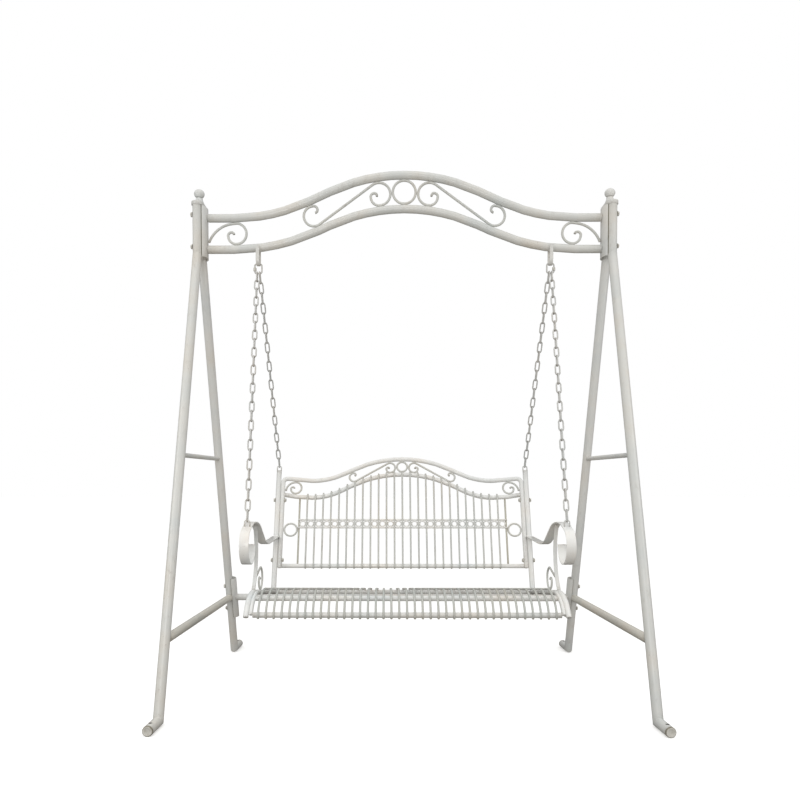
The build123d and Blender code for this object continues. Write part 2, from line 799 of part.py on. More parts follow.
def band_rails():
    reach = inner_stile_place + inner_stile_diameter / 2
    rails = []
    for up in (band_base, band_base + band_height):
        rails.append(bar(panel_plane, [(-reach, up), (reach, up)], square(band_rod_side), band_level))
    return rails


def band_rings():
    radius = (band_height - 2 * band_rod_side) / 2
    rings = []
    for number in range(back_rod_count + 1):
        across = back_rod_pitch * (number - back_rod_count / 2)
        center = (across, band_base + band_height / 2)
        rings.append(loop(panel_plane, center, radius, band_ring_facets, square(band_rod_side), band_level))
    return rings


def side_ring():
    outer = panel_stile_place - panel_tube_diameter / 2
    inner = inner_stile_place + inner_stile_diameter / 2
    radius = (outer - inner) / 2 - panel_scroll_diameter / 2
    center = ((outer + inner) / 2, side_ring_height)
    return loop(panel_plane, center, radius, ring_facets, faceted(panel_scroll_diameter, scroll_sides))


def panel_scrolls():
    room = panel_tube_diameter / 2 + panel_scroll_diameter / 2
    section = faceted(panel_scroll_diameter, scroll_sides)
    ring_radius = panel_spacing / 2 - room
    middle = (0, panel_crown - panel_spacing / 2)
    tail_end = panel_stile_place - room
    end = end_scroll(arch_only, inner_line, panel_end_scroll_place, tail_end, panel_end_scroll_rise, room)
    long = long_scroll(arch_only, inner_line, panel_slope_scroll_place, middle, ring_radius,
                       panel_scroll_diameter, room)
    save("back_panel_ring", loop(panel_plane, middle, ring_radius, ring_facets, section))
    save_both("back_end_scrolls", bar(panel_plane, flipped(end), section))
    save_both("back_long_scrolls", bar(panel_plane, flipped(long), section))


# Chains

def chain(start_across, end, links):
    """Links from the hanger ring down to an eye's wire, each turned a quarter from the last."""
    start = Vector(start_across, 0, link_pivot_height)
    end = Vector(*end)
    down = (end - start).normalized()
    first = start + down * -(ring_wire / 2 + running_gap + link_wire / 2)
    last = end + down * (eye_wire / 2 + running_gap + link_wire / 2)
    pitch = ((last - first).length - link_wire - running_gap / 2) / links
    half_length = (pitch + running_gap / 2 + link_wire) / 2
    half_width = (link_width - link_wire) / 2
    shoulder = half_length - half_width * math.sqrt(1 - link_end_share**2)
    end_width = half_width * link_end_share
    half_line = [(0, -half_length), (end_width, -half_length), (half_width, -shoulder)]
    half_line += [(half_width, shoulder), (end_width, half_length), (0, half_length)]
    link = closed_bar(Plane.XZ, half_line, square(link_wire))
    flat = (Vector(1, 0, 0) - down * down.X).normalized()
    turned = down.cross(flat)
    pieces = []
    for number in range(links):
        center = first + down * (half_length + number * pitch)
        x_dir = turned if number % 2 == 0 else flat
        pieces.append(Plane(origin=center, x_dir=x_dir, z_dir=-down).location * link)
    print(f"chain link {2 * half_length + link_wire:.1f} mm long, pitch {pitch:.2f} mm, {links} links")
    return pieces


def stand():
    save_pair("leg_front", to_side(front_leg))
    save_pair("leg_rear", to_side(rear_leg))
    save_pair("post_front", to_side(front_post))
    save_pair("post_rear", to_side(rear_post))
    save_both("foot_plugs", to_side(foot_plug()), to_side(mirror(foot_plug(), about=Plane.XZ)))
    save_pair("crossbar_upper", to_side(crossbar(upper_crossbar_height, upper_crossbar_diameter)))
    save_pair("crossbar_lower", to_side(crossbar(lower_crossbar_height, lower_crossbar_diameter)))
    save_pair("beam_bracket", to_side(beam_bracket()))
    save_both("stretcher_saddles", to_side(saddle()))
    save("rear_stretcher", stretcher())
    save_pair("finial", to_side(finial()))
    save("beam_upper_tube", beam_tube(upper_line))
    save("beam_lower_tube", beam_tube(lower_line))
    beam_scrolls()
    save_both("hanger_straps", hanger_strap())
    heads = []
    for height in (bracket_base + top_screw_margin, bracket_base + bracket_height - top_screw_margin):
        for place in (-post_place, post_place):
            heads.append(to_side(Pos(leg_radius, place, height) * screw_head()))
    for rise in (saddle_screw_margin - saddle_height / 2, saddle_height / 2 - saddle_screw_margin):
        heads.append(to_side(saddle_place * Pos(leg_radius, 0, rise) * screw_head()))
    save_both("frame_screws", *heads)


def hanger_rings():
    save_pair("hanger_ring", hanger_ring())


def seat_sides():
    save_pair("back_post", back_post())
    save_pair("side_rail", side_rail())
    save_pair("arm_band", arm_band())
    save_both("arm_supports", arm_support())
    save_both("arm_scrolls", arm_scroll())
    save_both("post_eyes", staple(panel_plane, half_seat, back_post_length))
    save_both("arm_eyes", largest(staple(eye_plane, half_seat, eye_base) - arm_band()))
    heads = []
    for run in (panel_base + lower_screw_rise, panel_arch_end - upper_screw_drop):
        outer = panel_plane.from_local_coords((half_seat + post_diameter / 2, run, 0))
        inner = panel_plane.from_local_coords((panel_stile_place - panel_tube_diameter / 2, run, 0))
        heads.append(Pos(*outer) * screw_head())
        heads.append(Pos(*inner) * Rot(0, 0, 180) * screw_head())
    save_both("seat_screws", *heads)


def seat_panel():
    save_pair("seat_edge_tube", edge_tube())
    save("seat_front_tube", cross_tube(front_tube_place))
    nose_steps = [(rail_run, 0), (nose_radius, -nose_turn / 2)]
    nose_place = trace((-seat_back_depth, seat_back_height), rail_slope, nose_steps, nose_step)[-1]
    save("seat_nose_tube", cross_tube(nose_place))
    save("seat_rear_tube", cross_tube(along_rail(rear_tube_setback)))
    rod = seat_rod()
    middle = (seat_rod_count - 1) / 2
    save("seat_rods", *[Pos(rod_pitch * (number - middle), 0, 0) * rod for number in range(seat_rod_count)])


def back_panel():
    save("back_frame_tube", panel_tube(outer_line))
    save("back_inner_arch", largest(panel_tube(inner_line) - panel_tube(outer_line)))
    save("back_bottom_rail", bottom_rail())
    save_both("back_inner_stiles", inner_stile())
    middle = (back_rod_count - 1) / 2
    save("back_rods", *[back_rod(back_rod_pitch * (number - middle)) for number in range(back_rod_count)])
    save("back_band_rails", *band_rails())
    save("back_band_rings", *band_rings())
    save_both("back_side_rings", side_ring())
    panel_scrolls()


def chains():
    rear_end = panel_plane.from_local_coords((half_seat, back_post_length + eye_height - eye_wire / 2, 0))
    front_end = (half_seat, balance_shift - arm_eye_forward, eye_base + eye_height - eye_wire / 2)
    save_pair("chain_rear", *chain(hanger_place - chain_splay, tuple(rear_end), rear_links))
    save_pair("chain_front", *chain(hanger_place + chain_splay, front_end, front_links))


eye_base = height_at(arm_path, arm_eye_forward) + arm_thickness / 2
eye_plane = Plane(origin=(0, balance_shift - arm_eye_forward, 0), x_dir=(1, 0, 0), z_dir=(0, -1, 0))

stand()
hanger_rings()
seat_sides()
seat_panel()
back_panel()
chains()
print(f"pivot of the rings {pivot_height:.2f}, of the seat {link_pivot_height:.2f}")
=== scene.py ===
import json
import math

import bmesh
import bpy
from mathutils import Euler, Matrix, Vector

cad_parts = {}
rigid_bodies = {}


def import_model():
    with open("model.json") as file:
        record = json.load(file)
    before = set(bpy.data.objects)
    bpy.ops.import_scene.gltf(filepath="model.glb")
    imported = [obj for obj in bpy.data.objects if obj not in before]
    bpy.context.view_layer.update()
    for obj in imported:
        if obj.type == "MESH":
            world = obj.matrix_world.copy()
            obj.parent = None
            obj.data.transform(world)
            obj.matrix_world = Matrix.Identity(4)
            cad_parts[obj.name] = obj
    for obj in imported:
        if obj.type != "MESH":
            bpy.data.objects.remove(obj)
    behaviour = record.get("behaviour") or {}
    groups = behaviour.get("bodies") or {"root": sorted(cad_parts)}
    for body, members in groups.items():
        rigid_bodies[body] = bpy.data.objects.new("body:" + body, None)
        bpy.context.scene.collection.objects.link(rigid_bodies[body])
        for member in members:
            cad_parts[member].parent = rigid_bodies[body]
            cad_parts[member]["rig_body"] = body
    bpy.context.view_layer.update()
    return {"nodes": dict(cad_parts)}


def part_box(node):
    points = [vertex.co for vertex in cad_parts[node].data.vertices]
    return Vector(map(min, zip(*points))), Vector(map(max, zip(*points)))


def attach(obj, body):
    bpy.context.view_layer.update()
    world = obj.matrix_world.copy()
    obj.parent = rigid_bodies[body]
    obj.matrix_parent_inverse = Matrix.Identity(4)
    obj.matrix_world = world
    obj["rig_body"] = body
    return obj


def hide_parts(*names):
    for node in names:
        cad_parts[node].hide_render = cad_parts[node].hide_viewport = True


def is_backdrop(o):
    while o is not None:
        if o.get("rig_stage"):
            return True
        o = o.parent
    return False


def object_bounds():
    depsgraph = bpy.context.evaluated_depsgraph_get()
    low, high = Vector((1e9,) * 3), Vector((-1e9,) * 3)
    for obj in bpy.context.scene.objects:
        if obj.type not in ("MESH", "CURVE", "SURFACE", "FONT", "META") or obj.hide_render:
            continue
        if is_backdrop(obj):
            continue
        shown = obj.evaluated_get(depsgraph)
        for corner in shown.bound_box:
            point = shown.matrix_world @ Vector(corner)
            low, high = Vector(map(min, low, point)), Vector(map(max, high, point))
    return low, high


# Looks of a garden swing: a slatted bench on chains under an arched beam, in worn antique white paint.
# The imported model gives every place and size. Its bars are drawn there with straight facets, and here
# each bar gets its round section and its smooth line back. Lengths are metres, or mm where it says so.

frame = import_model()
nodes = frame["nodes"]
body_of = {name: obj["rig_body"] for name, obj in nodes.items()}

MM = 0.001
UP = Vector((0, 0, 1))
SIDES = ("left", "right")

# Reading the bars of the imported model

DOUBLED = 0.002 * MM
CORNER_SHARE = 0.8  # of the turn at a section's corner makes an edge a bar's corner
SMALLEST_BEND = math.radians(0.5)
RING_REACH = 1.3  # of a section's width, where its other corners are looked for
END_GAP = 3 * MM  # a point nearer than this to its line's end is left out
AXIS_ROUNDS = 6


def clean_mesh(name):
    """A node's mesh as bmesh, its doubled points joined."""
    mesh = bmesh.new()
    mesh.from_mesh(nodes[name].data)
    bmesh.ops.remove_doubles(mesh, verts=mesh.verts, dist=DOUBLED)
    return mesh


def islands(mesh):
    """The separate solids of a node, as lists of points."""
    unseen = set(mesh.verts)
    found = []
    for start in mesh.verts:
        if start not in unseen:
            continue
        unseen.discard(start)
        group = [start]
        for vert in group:
            for edge in vert.link_edges:
                other = edge.other_vert(vert)
                if other in unseen:
                    unseen.discard(other)
                    group.append(other)
        found.append(group)
    return found


def node_corners(name):
    """The corner points of a node, each once."""
    mesh = clean_mesh(name)
    corners = [vert.co.copy() for vert in mesh.verts]
    mesh.free()
    return corners


def middle_of(points):
    return sum(points, Vector()) / len(points)


def follow_corner(links, start, side, used):
    """The points of a corner line on one side of its start, and whether it comes back."""
    passed = []
    before = start
    here = links[start][side]
    while here is not start:
        passed.append(here)
        if len(links[here]) != 2:
            return passed, False
        used.add(here)
        following = [vert for vert in links[here] if vert is not before]
        if not following:
            return passed, False
        before, here = here, following[0]
    return passed, True


def corner_lines(group, sides):
    """The lines that a bar's corners follow, each as points, and whether they close."""
    sharp_from = CORNER_SHARE * 2 * math.pi / sides
    links = {}
    for vert in group:
        links[vert] = [edge.other_vert(vert) for edge in vert.link_edges
                       if len(edge.link_faces) == 2 and edge.calc_face_angle() > sharp_from]
    used = set()
    lines = []
    for start in group:
        if len(links[start]) != 2 or start in used:
            continue
        used.add(start)
        ahead, closed = follow_corner(links, start, 0, used)
        behind = [] if closed else follow_corner(links, start, 1, used)[0]
        lines.append((behind[::-1] + [start] + ahead, closed))
    return lines


def neighbours(points, index, closed):
    """The points before and after one point of a line, None past an open end."""
    before = points[index - 1] if index or closed else None
    after = points[(index + 1) % len(points)] if index + 1 < len(points) or closed else None
    return before, after


def line_tangent(points, index, closed, pull):
    """The way of a line through a point, where each neighbour pulls by its distance to a power."""
    before, after = neighbours(points, index, closed)
    ways = []
    if before is not None:
        ways.append(points[index] - before)
    if after is not None:
        ways.append(after - points[index])
    return sum((way.normalized() * way.length**pull for way in ways), Vector()).normalized()


def bend_points(points, closed):
    """The points of a line, less those where it doesn't bend."""
    kept = list(points)
    for index in reversed(range(len(kept))):
        before, after = neighbours(kept, index, closed)
        if before is None or after is None:
            continue
        if (kept[index] - before).angle(after - kept[index], 0) < SMALLEST_BEND:
            kept.pop(index)
    return kept


def section_width(lines):
    """The largest distance between two corner lines."""
    place = lines[0][len(lines[0]) // 2].co
    near = [min((vert.co for vert in line), key=lambda co: (co - place).length) for line in lines]
    return max((a - b).length for a in near for b in near)


def section_corners(lines, points):
    """The corners of a bar's section, seen from its middle, and its direction there."""
    middle = len(points) // 2
    run = (points[middle] - points[middle - 1]).normalized()
    corners = []
    for line in lines:
        near = min((vert.co for vert in line), key=lambda co: (co - points[middle]).length)
        offset = near - points[middle]
        corners.append(offset - run * offset.dot(run))
    return corners, run


def centre_line(group, sides):
    """The points of a bent bar's middle line, whether it closes, and its corner lines."""
    lines = corner_lines(group, sides)
    closed = any(line_closed for _, line_closed in lines)
    lines = [line for line, line_closed in lines if line_closed == closed and len(line) > 2]
    lines.sort(key=len, reverse=True)
    lines = lines[:sides]
    guide = bend_points([vert.co.copy() for vert in lines[0]], closed)
    reach = RING_REACH * section_width(lines)
    points = []
    for index, place in enumerate(guide):
        tangent = line_tangent(guide, index, closed, 0)
        total = place.copy()
        for line in lines[1:]:
            near = [vert.co for vert in line if (vert.co - place).length < reach]
            total += min(near or [vert.co for vert in line], key=lambda co: abs((co - place).dot(tangent)))
        points.append(total / len(lines))
    for end, near in ((-1, -2), (0, 1)):
        while not closed and len(points) > 2 and (points[end] - points[near]).length < END_GAP:
            points.pop(near)
    return points, closed, lines


def straight_axis(group):
    """Start, end and corner radius of a straight bar."""
    low = group[0].co.copy()
    far = max(group, key=lambda vert: (vert.co - low).length).co
    back = max(group, key=lambda vert: (vert.co - far).length).co
    axis = (far - back).normalized()
    middle = middle_of([vert.co for vert in group])
    for _ in range(AXIS_ROUNDS):
        front = middle_of([vert.co for vert in group if (vert.co - middle).dot(axis) > 0])
        rear = middle_of([vert.co for vert in group if (vert.co - middle).dot(axis) <= 0])
        middle = (front + rear) / 2
        axis = (front - rear).normalized()
    runs = [(vert.co - middle).dot(axis) for vert in group]
    radius = max(((vert.co - middle) - axis * (vert.co - middle).dot(axis)).length for vert in group)
    return middle + axis * min(runs), middle + axis * max(runs), radius


# Smooth lines

LARGEST_TURN = math.radians(7)  # between two rings of a smooth bar
END_BEND = math.radians(3)  # next to a line's end: one that bends more bends on to the end
SAME_SPOT = 0.05 * MM
SHARED_ROOM = 0.5  # of a straight between two bends, for the rounding of each
END_ROOM = 0.98  # of a straight between a bend and the end
FLAT = 1e-6


def plane_normal(points, closed):
    """Normal of the plane that a bent line lies in."""
    best = Vector()
    count = len(points)
    for index in range(count if closed else count - 2):
        a = points[(index + 1) % count] - points[index]
        b = points[(index + 2) % count] - points[(index + 1) % count]
        turn = a.normalized().cross(b.normalized())
        if turn.length > best.length:
            best = turn
    if best.length < FLAT:
        best = (points[-1] - points[0]).normalized().orthogonal()
    best.normalize()
    if best.x < -FLAT or (abs(best.x) < FLAT and best.y < 0):
        best.negate()
    return best


def curve_through(points, closed):
    """A smooth line through all points that keeps long straights straight."""
    count = len(points)
    tangents = [line_tangent(points, index, closed, 2) for index in range(count)]
    if not closed and count > 2:
        for end, near, way in ((0, 1, 1), (-1, -2, -1)):
            chord = (points[near] - points[end]).normalized() * way
            if tangents[near].angle(chord, 0) > END_BEND:
                tangents[end] = (chord * 2 * chord.dot(tangents[near]) - tangents[near]).normalized()
    line = []
    for index in range(count if closed else count - 1):
        start = points[index]
        end = points[(index + 1) % count]
        leave = tangents[index]
        arrive = tangents[(index + 1) % count]
        turn = leave.angle(arrive, 0)
        handle = (end - start).length / 3 / max(0.5, math.cos(turn / 4) ** 2)
        bend = turn + leave.angle(end - start, 0) + arrive.angle(end - start, 0)
        parts = max(1, math.ceil(bend / 2 / LARGEST_TURN))
        for number in range(parts):
            t = number / parts
            s = 1 - t
            line.append(start * s**3 + (start + leave * handle) * 3 * s * s * t
                        + (end - arrive * handle) * 3 * s * t * t + end * t**3)
    if not closed:
        line.append(points[-1])
    return line


def curve_inside(points, closed):
    """A smooth line that rounds off each corner, touching the straights beside it."""
    count = len(points)
    line = []
    for index, place in enumerate(points):
        if not closed and index in (0, count - 1):
            line.append(place.copy())
            continue
        before = points[index - 1] - place
        after = points[(index + 1) % count] - place
        shares = [END_ROOM if index == last and not closed else SHARED_ROOM for last in (1, count - 2)]
        room = min(before.length * shares[0], after.length * shares[1])
        start = place + before.normalized() * room
        end = place + after.normalized() * room
        turn = math.pi - before.angle(after)
        parts = max(2, math.ceil(turn / LARGEST_TURN))
        weight = math.cos(turn / 2)
        for number in range(parts + 1):
            t = number / parts
            s = 1 - t
            share = s * s + 2 * s * t * weight + t * t
            spot = (start * s * s + place * 2 * s * t * weight + end * t * t) / share
            if not line or (spot - line[-1]).length > SAME_SPOT:
                line.append(spot)
    if closed and (line[0] - line[-1]).length < SAME_SPOT:
        line.pop()
    return line


# Sections and pieces

EDGE_ROUNDING = 0.3  # radius of a flat bar's edges, as a share of its thickness
ROUNDED_END = ((0, 0.72), (0.35, 0.92), (1, 1))  # how a bar widens from its end
END_CUT = 0.35  # of a bar's half width is rounded at its end
CUT_ROOM = 0.4  # of the first step of its line, at most
TUBE_STEPS = (0, 4, 10, 18, 30, 60, 120, 240, 400, 600)  # mm from a tube's ends to its rings
TUBE_WEAR = 14 * MM
SHARP = math.radians(40)  # edges that turn more aren't shaded smooth
HEAD_SHARP = math.radians(25)


def round_section(radius, sides):
    turns = [2 * math.pi * number / sides for number in range(sides)]
    return [(radius * math.cos(turn), radius * math.sin(turn)) for turn in turns]


def flat_section(width, thickness):
    """A flat bar's section, its edges rounded."""
    corner = EDGE_ROUNDING * min(width, thickness)
    points = []
    for quarter, (sx, sy) in enumerate(((1, 1), (-1, 1), (-1, -1), (1, -1))):
        for number in range(4):
            turn = math.radians(90 * quarter + 30 * number)
            points.append((sx * (width / 2 - corner) + corner * math.cos(turn),
                           sy * (thickness / 2 - corner) + corner * math.sin(turn)))
    return points


def rounded_end(station, cut):
    """The rings that round off a bar's end, from the end inwards."""
    place, tangent, _, run = station
    return [(place + tangent * cut * share, tangent, scale, run) for share, scale in ROUNDED_END]


def circle(side, up, radius, count):
    """Places round a circle, as seen from its middle."""
    turns = [2 * math.pi * number / count for number in range(count)]
    return [(side * math.cos(turn) + up * math.sin(turn)) * radius for turn in turns]


def steps_from_end(length, steps):
    """The steps, given in mm, that lie before a bar's middle."""
    return [step * MM for step in steps if step * MM < length / 2]


def in_metres(profile):
    return [(height * MM, radius * MM) for height, radius in profile]


class Piece:
    """One mesh made of many bars, with the wear of its paint stored at its points."""

    def __init__(self):
        self.verts = []
        self.faces = []
        self.wear = []

    def skin(self, rings, wear, closed=False):
        """Faces between rings of equally many points. Open ends get a cap."""
        first = len(self.verts)
        size = len(rings[0])
        count = len(rings)
        for ring, worn in zip(rings, wear):
            self.verts.extend(ring)
            self.wear.extend([worn] * size)
        for number in range(count if closed else count - 1):
            here = first + number * size
            there = first + (number + 1) % count * size
            for side in range(size):
                following = (side + 1) % size
                self.faces.append((here + side, here + following, there + following, there + side))
        if not closed:
            end = first + (count - 1) * size
            self.faces.append(tuple(reversed(range(first, first + size))))
            self.faces.append(tuple(range(end, end + size)))

    def bar(self, line, closed, section, normal, wear_ends=1.0, wear_length=9 * MM, soft_ends=True,
            worn_spots=()):
        """A bar along a line, worn at its open ends and round the spots, each with its reach."""
        along = [0.0]
        for before, after in zip(line, line[1:]):
            along.append(along[-1] + (after - before).length)
        stations = [(place, line_tangent(line, index, closed, int(closed)), 1.0, along[index])
                    for index, place in enumerate(line)]
        if not closed and soft_ends:
            half_width = max(math.hypot(a, b) for a, b in section)
            shortest = min((line[1] - line[0]).length, (line[-1] - line[-2]).length)
            cut = min(END_CUT * half_width, CUT_ROOM * shortest)
            stations[:1] = rounded_end(stations[0], cut)
            stations[-1:] = reversed(rounded_end(stations[-1], -cut))
        rings = []
        wear = []
        for place, tangent, scale, run in stations:
            across = normal - tangent * normal.dot(tangent)
            across.normalize()
            up = tangent.cross(across)
            worn = 0.0 if closed else wear_ends * math.exp(-min(run, along[-1] - run) / wear_length)
            for spot, reach in worn_spots:
                worn = max(worn, math.exp(-((place - spot).length / reach) ** 2))
            rings.append([place + across * a * scale + up * b * scale for a, b in section])
            wear.append(worn)
        self.skin(rings, wear, closed)

    def mitred(self, points, radius, facets, across, first_cut=None, last_cut=None):
        """A round tube with sharp mitred corners, all its points in the plane square to across."""
        runs = [(b - a).normalized() for a, b in zip(points, points[1:])]
        cuts = [first_cut or runs[0]] + [(a + b).normalized() for a, b in zip(runs, runs[1:])]
        cuts.append(last_cut or runs[-1])
        for index, run in enumerate(runs):
            length = (points[index + 1] - points[index]).length
            near = [step / length for step in steps_from_end(length, TUBE_STEPS)]
            shares = near + [1 - share for share in reversed(near)]
            rings = [[] for _ in shares]
            for offset in circle(across, run.cross(across), radius, facets):
                low = -offset.dot(cuts[index]) / run.dot(cuts[index])
                high = length - offset.dot(cuts[index + 1]) / run.dot(cuts[index + 1])
                for ring, share in zip(rings, shares):
                    ring.append(points[index] + offset + run * (low + (high - low) * share))
            worn = [0.5 * math.exp(-min(share, 1 - share) * length / TUBE_WEAR) for share in shares]
            self.skin(rings, worn)

    def lathe(self, base, axis, profile, facets, wear=0.0):
        """A turned form: its profile is a list of heights along the axis with radii."""
        side = axis.orthogonal().normalized()
        rings = []
        for height, radius in profile:
            middle = base + axis * height
            rings.append([middle + offset for offset in circle(side, axis.cross(side), radius, facets)])
        self.skin(rings, [wear] * len(rings))

    def build(self, name, material, body, replaced=(), sharp=SHARP):
        """Make the piece an object that moves with a body and replaces nodes of the model."""
        mesh = bpy.data.meshes.new(name)
        mesh.from_pydata([tuple(vert) for vert in self.verts], [], self.faces)
        shape = bmesh.new()
        shape.from_mesh(mesh)
        bmesh.ops.recalc_face_normals(shape, faces=shape.faces)
        for face in shape.faces:
            face.smooth = True
        for edge in shape.edges:
            edge.smooth = not (len(edge.link_faces) == 2 and edge.calc_face_angle() > sharp)
        shape.to_mesh(mesh)
        shape.free()
        wear = mesh.attributes.new("wear", "FLOAT", "POINT")
        wear.data.foreach_set("value", self.wear)
        mesh.materials.append(material)
        obj = bpy.data.objects.new(name, mesh)
        bpy.context.scene.collection.objects.link(obj)
        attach(obj, body)
        if replaced:
            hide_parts(*replaced)


# Materials

def fill_ramp(ramp, stops):
    while len(ramp.elements) < len(stops):
        ramp.elements.new(0.5)
    for element, (place, colour) in zip(ramp.elements, stops):
        element.position = place
        element.color = (*colour, 1)


class Tree:
    """A material's nodes, made in short calls."""

    def __init__(self, name):
        self.material = bpy.data.materials.new(name)
        self.material.use_nodes = True
        self.tree = self.material.node_tree
        self.tree.nodes.clear()
        self.shader = self.add("ShaderNodeBsdfPrincipled")
        output = self.add("ShaderNodeOutputMaterial")
        self.join(self.shader.outputs["BSDF"], output.inputs["Surface"])
        self.place = self.add("ShaderNodeTexCoord").outputs["Object"]

    def add(self, kind):
        return self.tree.nodes.new(kind)

    def join(self, source, target):
        self.tree.links.new(source, target)

    def noise(self, scale, detail, roughness, distortion=0.0, stretch=(1, 1, 1), offset=(0, 0, 0)):
        mapping = self.add("ShaderNodeMapping")
        mapping.inputs["Scale"].default_value = stretch
        mapping.inputs["Location"].default_value = offset
        self.join(self.place, mapping.inputs["Vector"])
        node = self.add("ShaderNodeTexNoise")
        node.inputs["Scale"].default_value = scale
        node.inputs["Detail"].default_value = detail
        node.inputs["Roughness"].default_value = roughness
        node.inputs["Distortion"].default_value = distortion
        self.join(mapping.outputs["Vector"], node.inputs["Vector"])
        return node.outputs["Fac"]

    def ramp(self, value, stops):
        node = self.add("ShaderNodeValToRGB")
        fill_ramp(node.color_ramp, stops)
        self.join(value, node.inputs["Fac"])
        return node.outputs["Color"]

    def grade(self, value, low, high, to_low=0.0, to_high=1.0):
        """A value between low and high moved softly to another range."""
        node = self.add("ShaderNodeMapRange")
        node.interpolation_type = "SMOOTHSTEP"
        node.inputs["From Min"].default_value = low
        node.inputs["From Max"].default_value = high
        node.inputs["To Min"].default_value = to_low
        node.inputs["To Max"].default_value = to_high
        self.join(value, node.inputs["Value"])
        return node.outputs["Result"]

    def times(self, value, by):
        """A value multiplied by another value or by a number."""
        node = self.add("ShaderNodeMath")
        node.operation = "MULTIPLY"
        node.use_clamp = True
        self.join(value, node.inputs[0])
        if isinstance(by, float):
            node.inputs[1].default_value = by
        else:
            self.join(by, node.inputs[1])
        return node.outputs["Value"]

    def mix(self, share, under, over):
        """Two colours, of which the second may be a plain one."""
        node = self.add("ShaderNodeMix")
        node.data_type = "RGBA"
        self.join(share, node.inputs["Factor"])
        self.join(under, node.inputs[6])
        if isinstance(over, tuple):
            node.inputs[7].default_value = (*over, 1)
        else:
            self.join(over, node.inputs[7])
        return node.outputs[2]

    def attribute(self, name):
        node = self.add("ShaderNodeAttribute")
        node.attribute_name = name
        return node.outputs["Fac"]

    def bump(self, *layers):
        """Bump layers (height, distance), each on the last."""
        normal = None
        for height, distance in layers:
            node = self.add("ShaderNodeBump")
            node.inputs["Distance"].default_value = distance
            node.inputs["Strength"].default_value = 1.0
            self.join(height, node.inputs["Height"])
            if normal:
                self.join(normal, node.inputs["Normal"])
            normal = node.outputs["Normal"]
        self.join(normal, self.shader.inputs["Normal"])


def srgb(red, green, blue):
    """A colour as it looks on a screen, made linear."""
    values = []
    for value in (red, green, blue):
        share = value / 255
        values.append(share / 12.92 if share <= 0.04045 else ((share + 0.055) / 1.055) ** 2.4)
    return tuple(values)


CREAM = srgb(227, 226, 222)
CREAM_GREY = srgb(216, 219, 218)
CREAM_WARM = srgb(226, 219, 209)
AGED_BROWN = srgb(128, 112, 92)
RUST = srgb(108, 82, 60)
ZINC = (srgb(140, 128, 110), srgb(204, 200, 190), srgb(226, 224, 218))
PLUG_GREY = (srgb(188, 184, 173), srgb(214, 211, 203), srgb(223, 221, 215))
SCUFF = srgb(120, 108, 94)
FLOOR_WHITE = (srgb(246, 246, 246), srgb(251, 251, 251))
SEAT_DEPTH = (-0.345, -0.24)  # y where the rods' painted shade in front turns to painted light behind, from the seat's front to where its rods seem close together


def aged_paint(name, stain_share, wear_share, grain, shade=(1, 1, 1), rear_painted_light=None):
    """Hand-rubbed off-white paint: cloudy tone, brown glaze in streaks and spots, worn at ends. Its tone is
    scaled as a whole and may be scaled again towards the rear; some scales are painted light or painted
    shade.
    """
    made = Tree(name)
    cloud = made.noise(5.0, 5, 0.6)

    def clouded(by):
        tones = []
        for colour in (CREAM_GREY, CREAM, CREAM_WARM):
            tones.append([part * share for part, share in zip(colour, by)])
        return made.ramp(cloud, list(zip((0.30, 0.52, 0.74), tones)))

    tone = clouded(shade)
    # Painted shade and painted light: along y the tone turns from the first scale at the seat's front to
    # the rear scale behind.
    if rear_painted_light:
        depth = made.add("ShaderNodeSeparateXYZ")
        made.join(made.place, depth.inputs["Vector"])
        tone = made.mix(made.grade(depth.outputs["Y"], *SEAT_DEPTH), tone, clouded(rear_painted_light))
    streak = made.noise(38.0, 6, 0.62, 0.4, stretch=(1, 1, 0.35), offset=(3, 1, 7))
    stain = made.grade(streak, 0.56, 0.78, 0, stain_share)
    fine = made.noise(420.0, 3, 0.6)
    stain = made.times(stain, made.grade(fine, 0.30, 0.62, 0.35, 1))
    colour = made.mix(stain, tone, AGED_BROWN)
    rough_edge = made.noise(160.0, 5, 0.7, 0.3)
    worn = made.times(made.attribute("wear"), made.grade(rough_edge, 0.36, 0.60, 0.1, 1))
    colour = made.mix(made.times(worn, wear_share), colour, AGED_BROWN)
    speck = made.grade(made.noise(230.0, 2, 0.5, offset=(9, 4, 2)), 0.70, 0.76, 0, 0.75)
    speck = made.times(speck, made.grade(cloud, 0.45, 0.65, 0.15, 1))
    colour = made.mix(speck, colour, RUST)
    made.join(colour, made.shader.inputs["Base Color"])
    made.join(made.grade(streak, 0.3, 0.75, 0.40, 0.62), made.shader.inputs["Roughness"])
    made.shader.inputs["Metallic"].default_value = 0.0
    made.shader.inputs["Specular IOR Level"].default_value = 0.42
    made.shader.inputs["Coat Weight"].default_value = 0.55
    made.shader.inputs["Coat Roughness"].default_value = 0.22
    made.bump((made.noise(grain, 4, 0.6), 0.00005), (made.noise(60.0, 3, 0.5), 0.0002))
    return made.material


def worn_steel(name):
    """Zinc-grey screw steel with brown tarnish."""
    made = Tree(name)
    cloud = made.noise(180.0, 5, 0.6)
    tone = made.ramp(cloud, list(zip((0.28, 0.42, 0.70), ZINC)))
    made.join(tone, made.shader.inputs["Base Color"])
    made.shader.inputs["Metallic"].default_value = 0.2
    made.join(made.grade(cloud, 0.3, 0.7, 0.62, 0.38), made.shader.inputs["Roughness"])
    made.bump((made.noise(900.0, 3, 0.6), 0.0002))
    return made.material


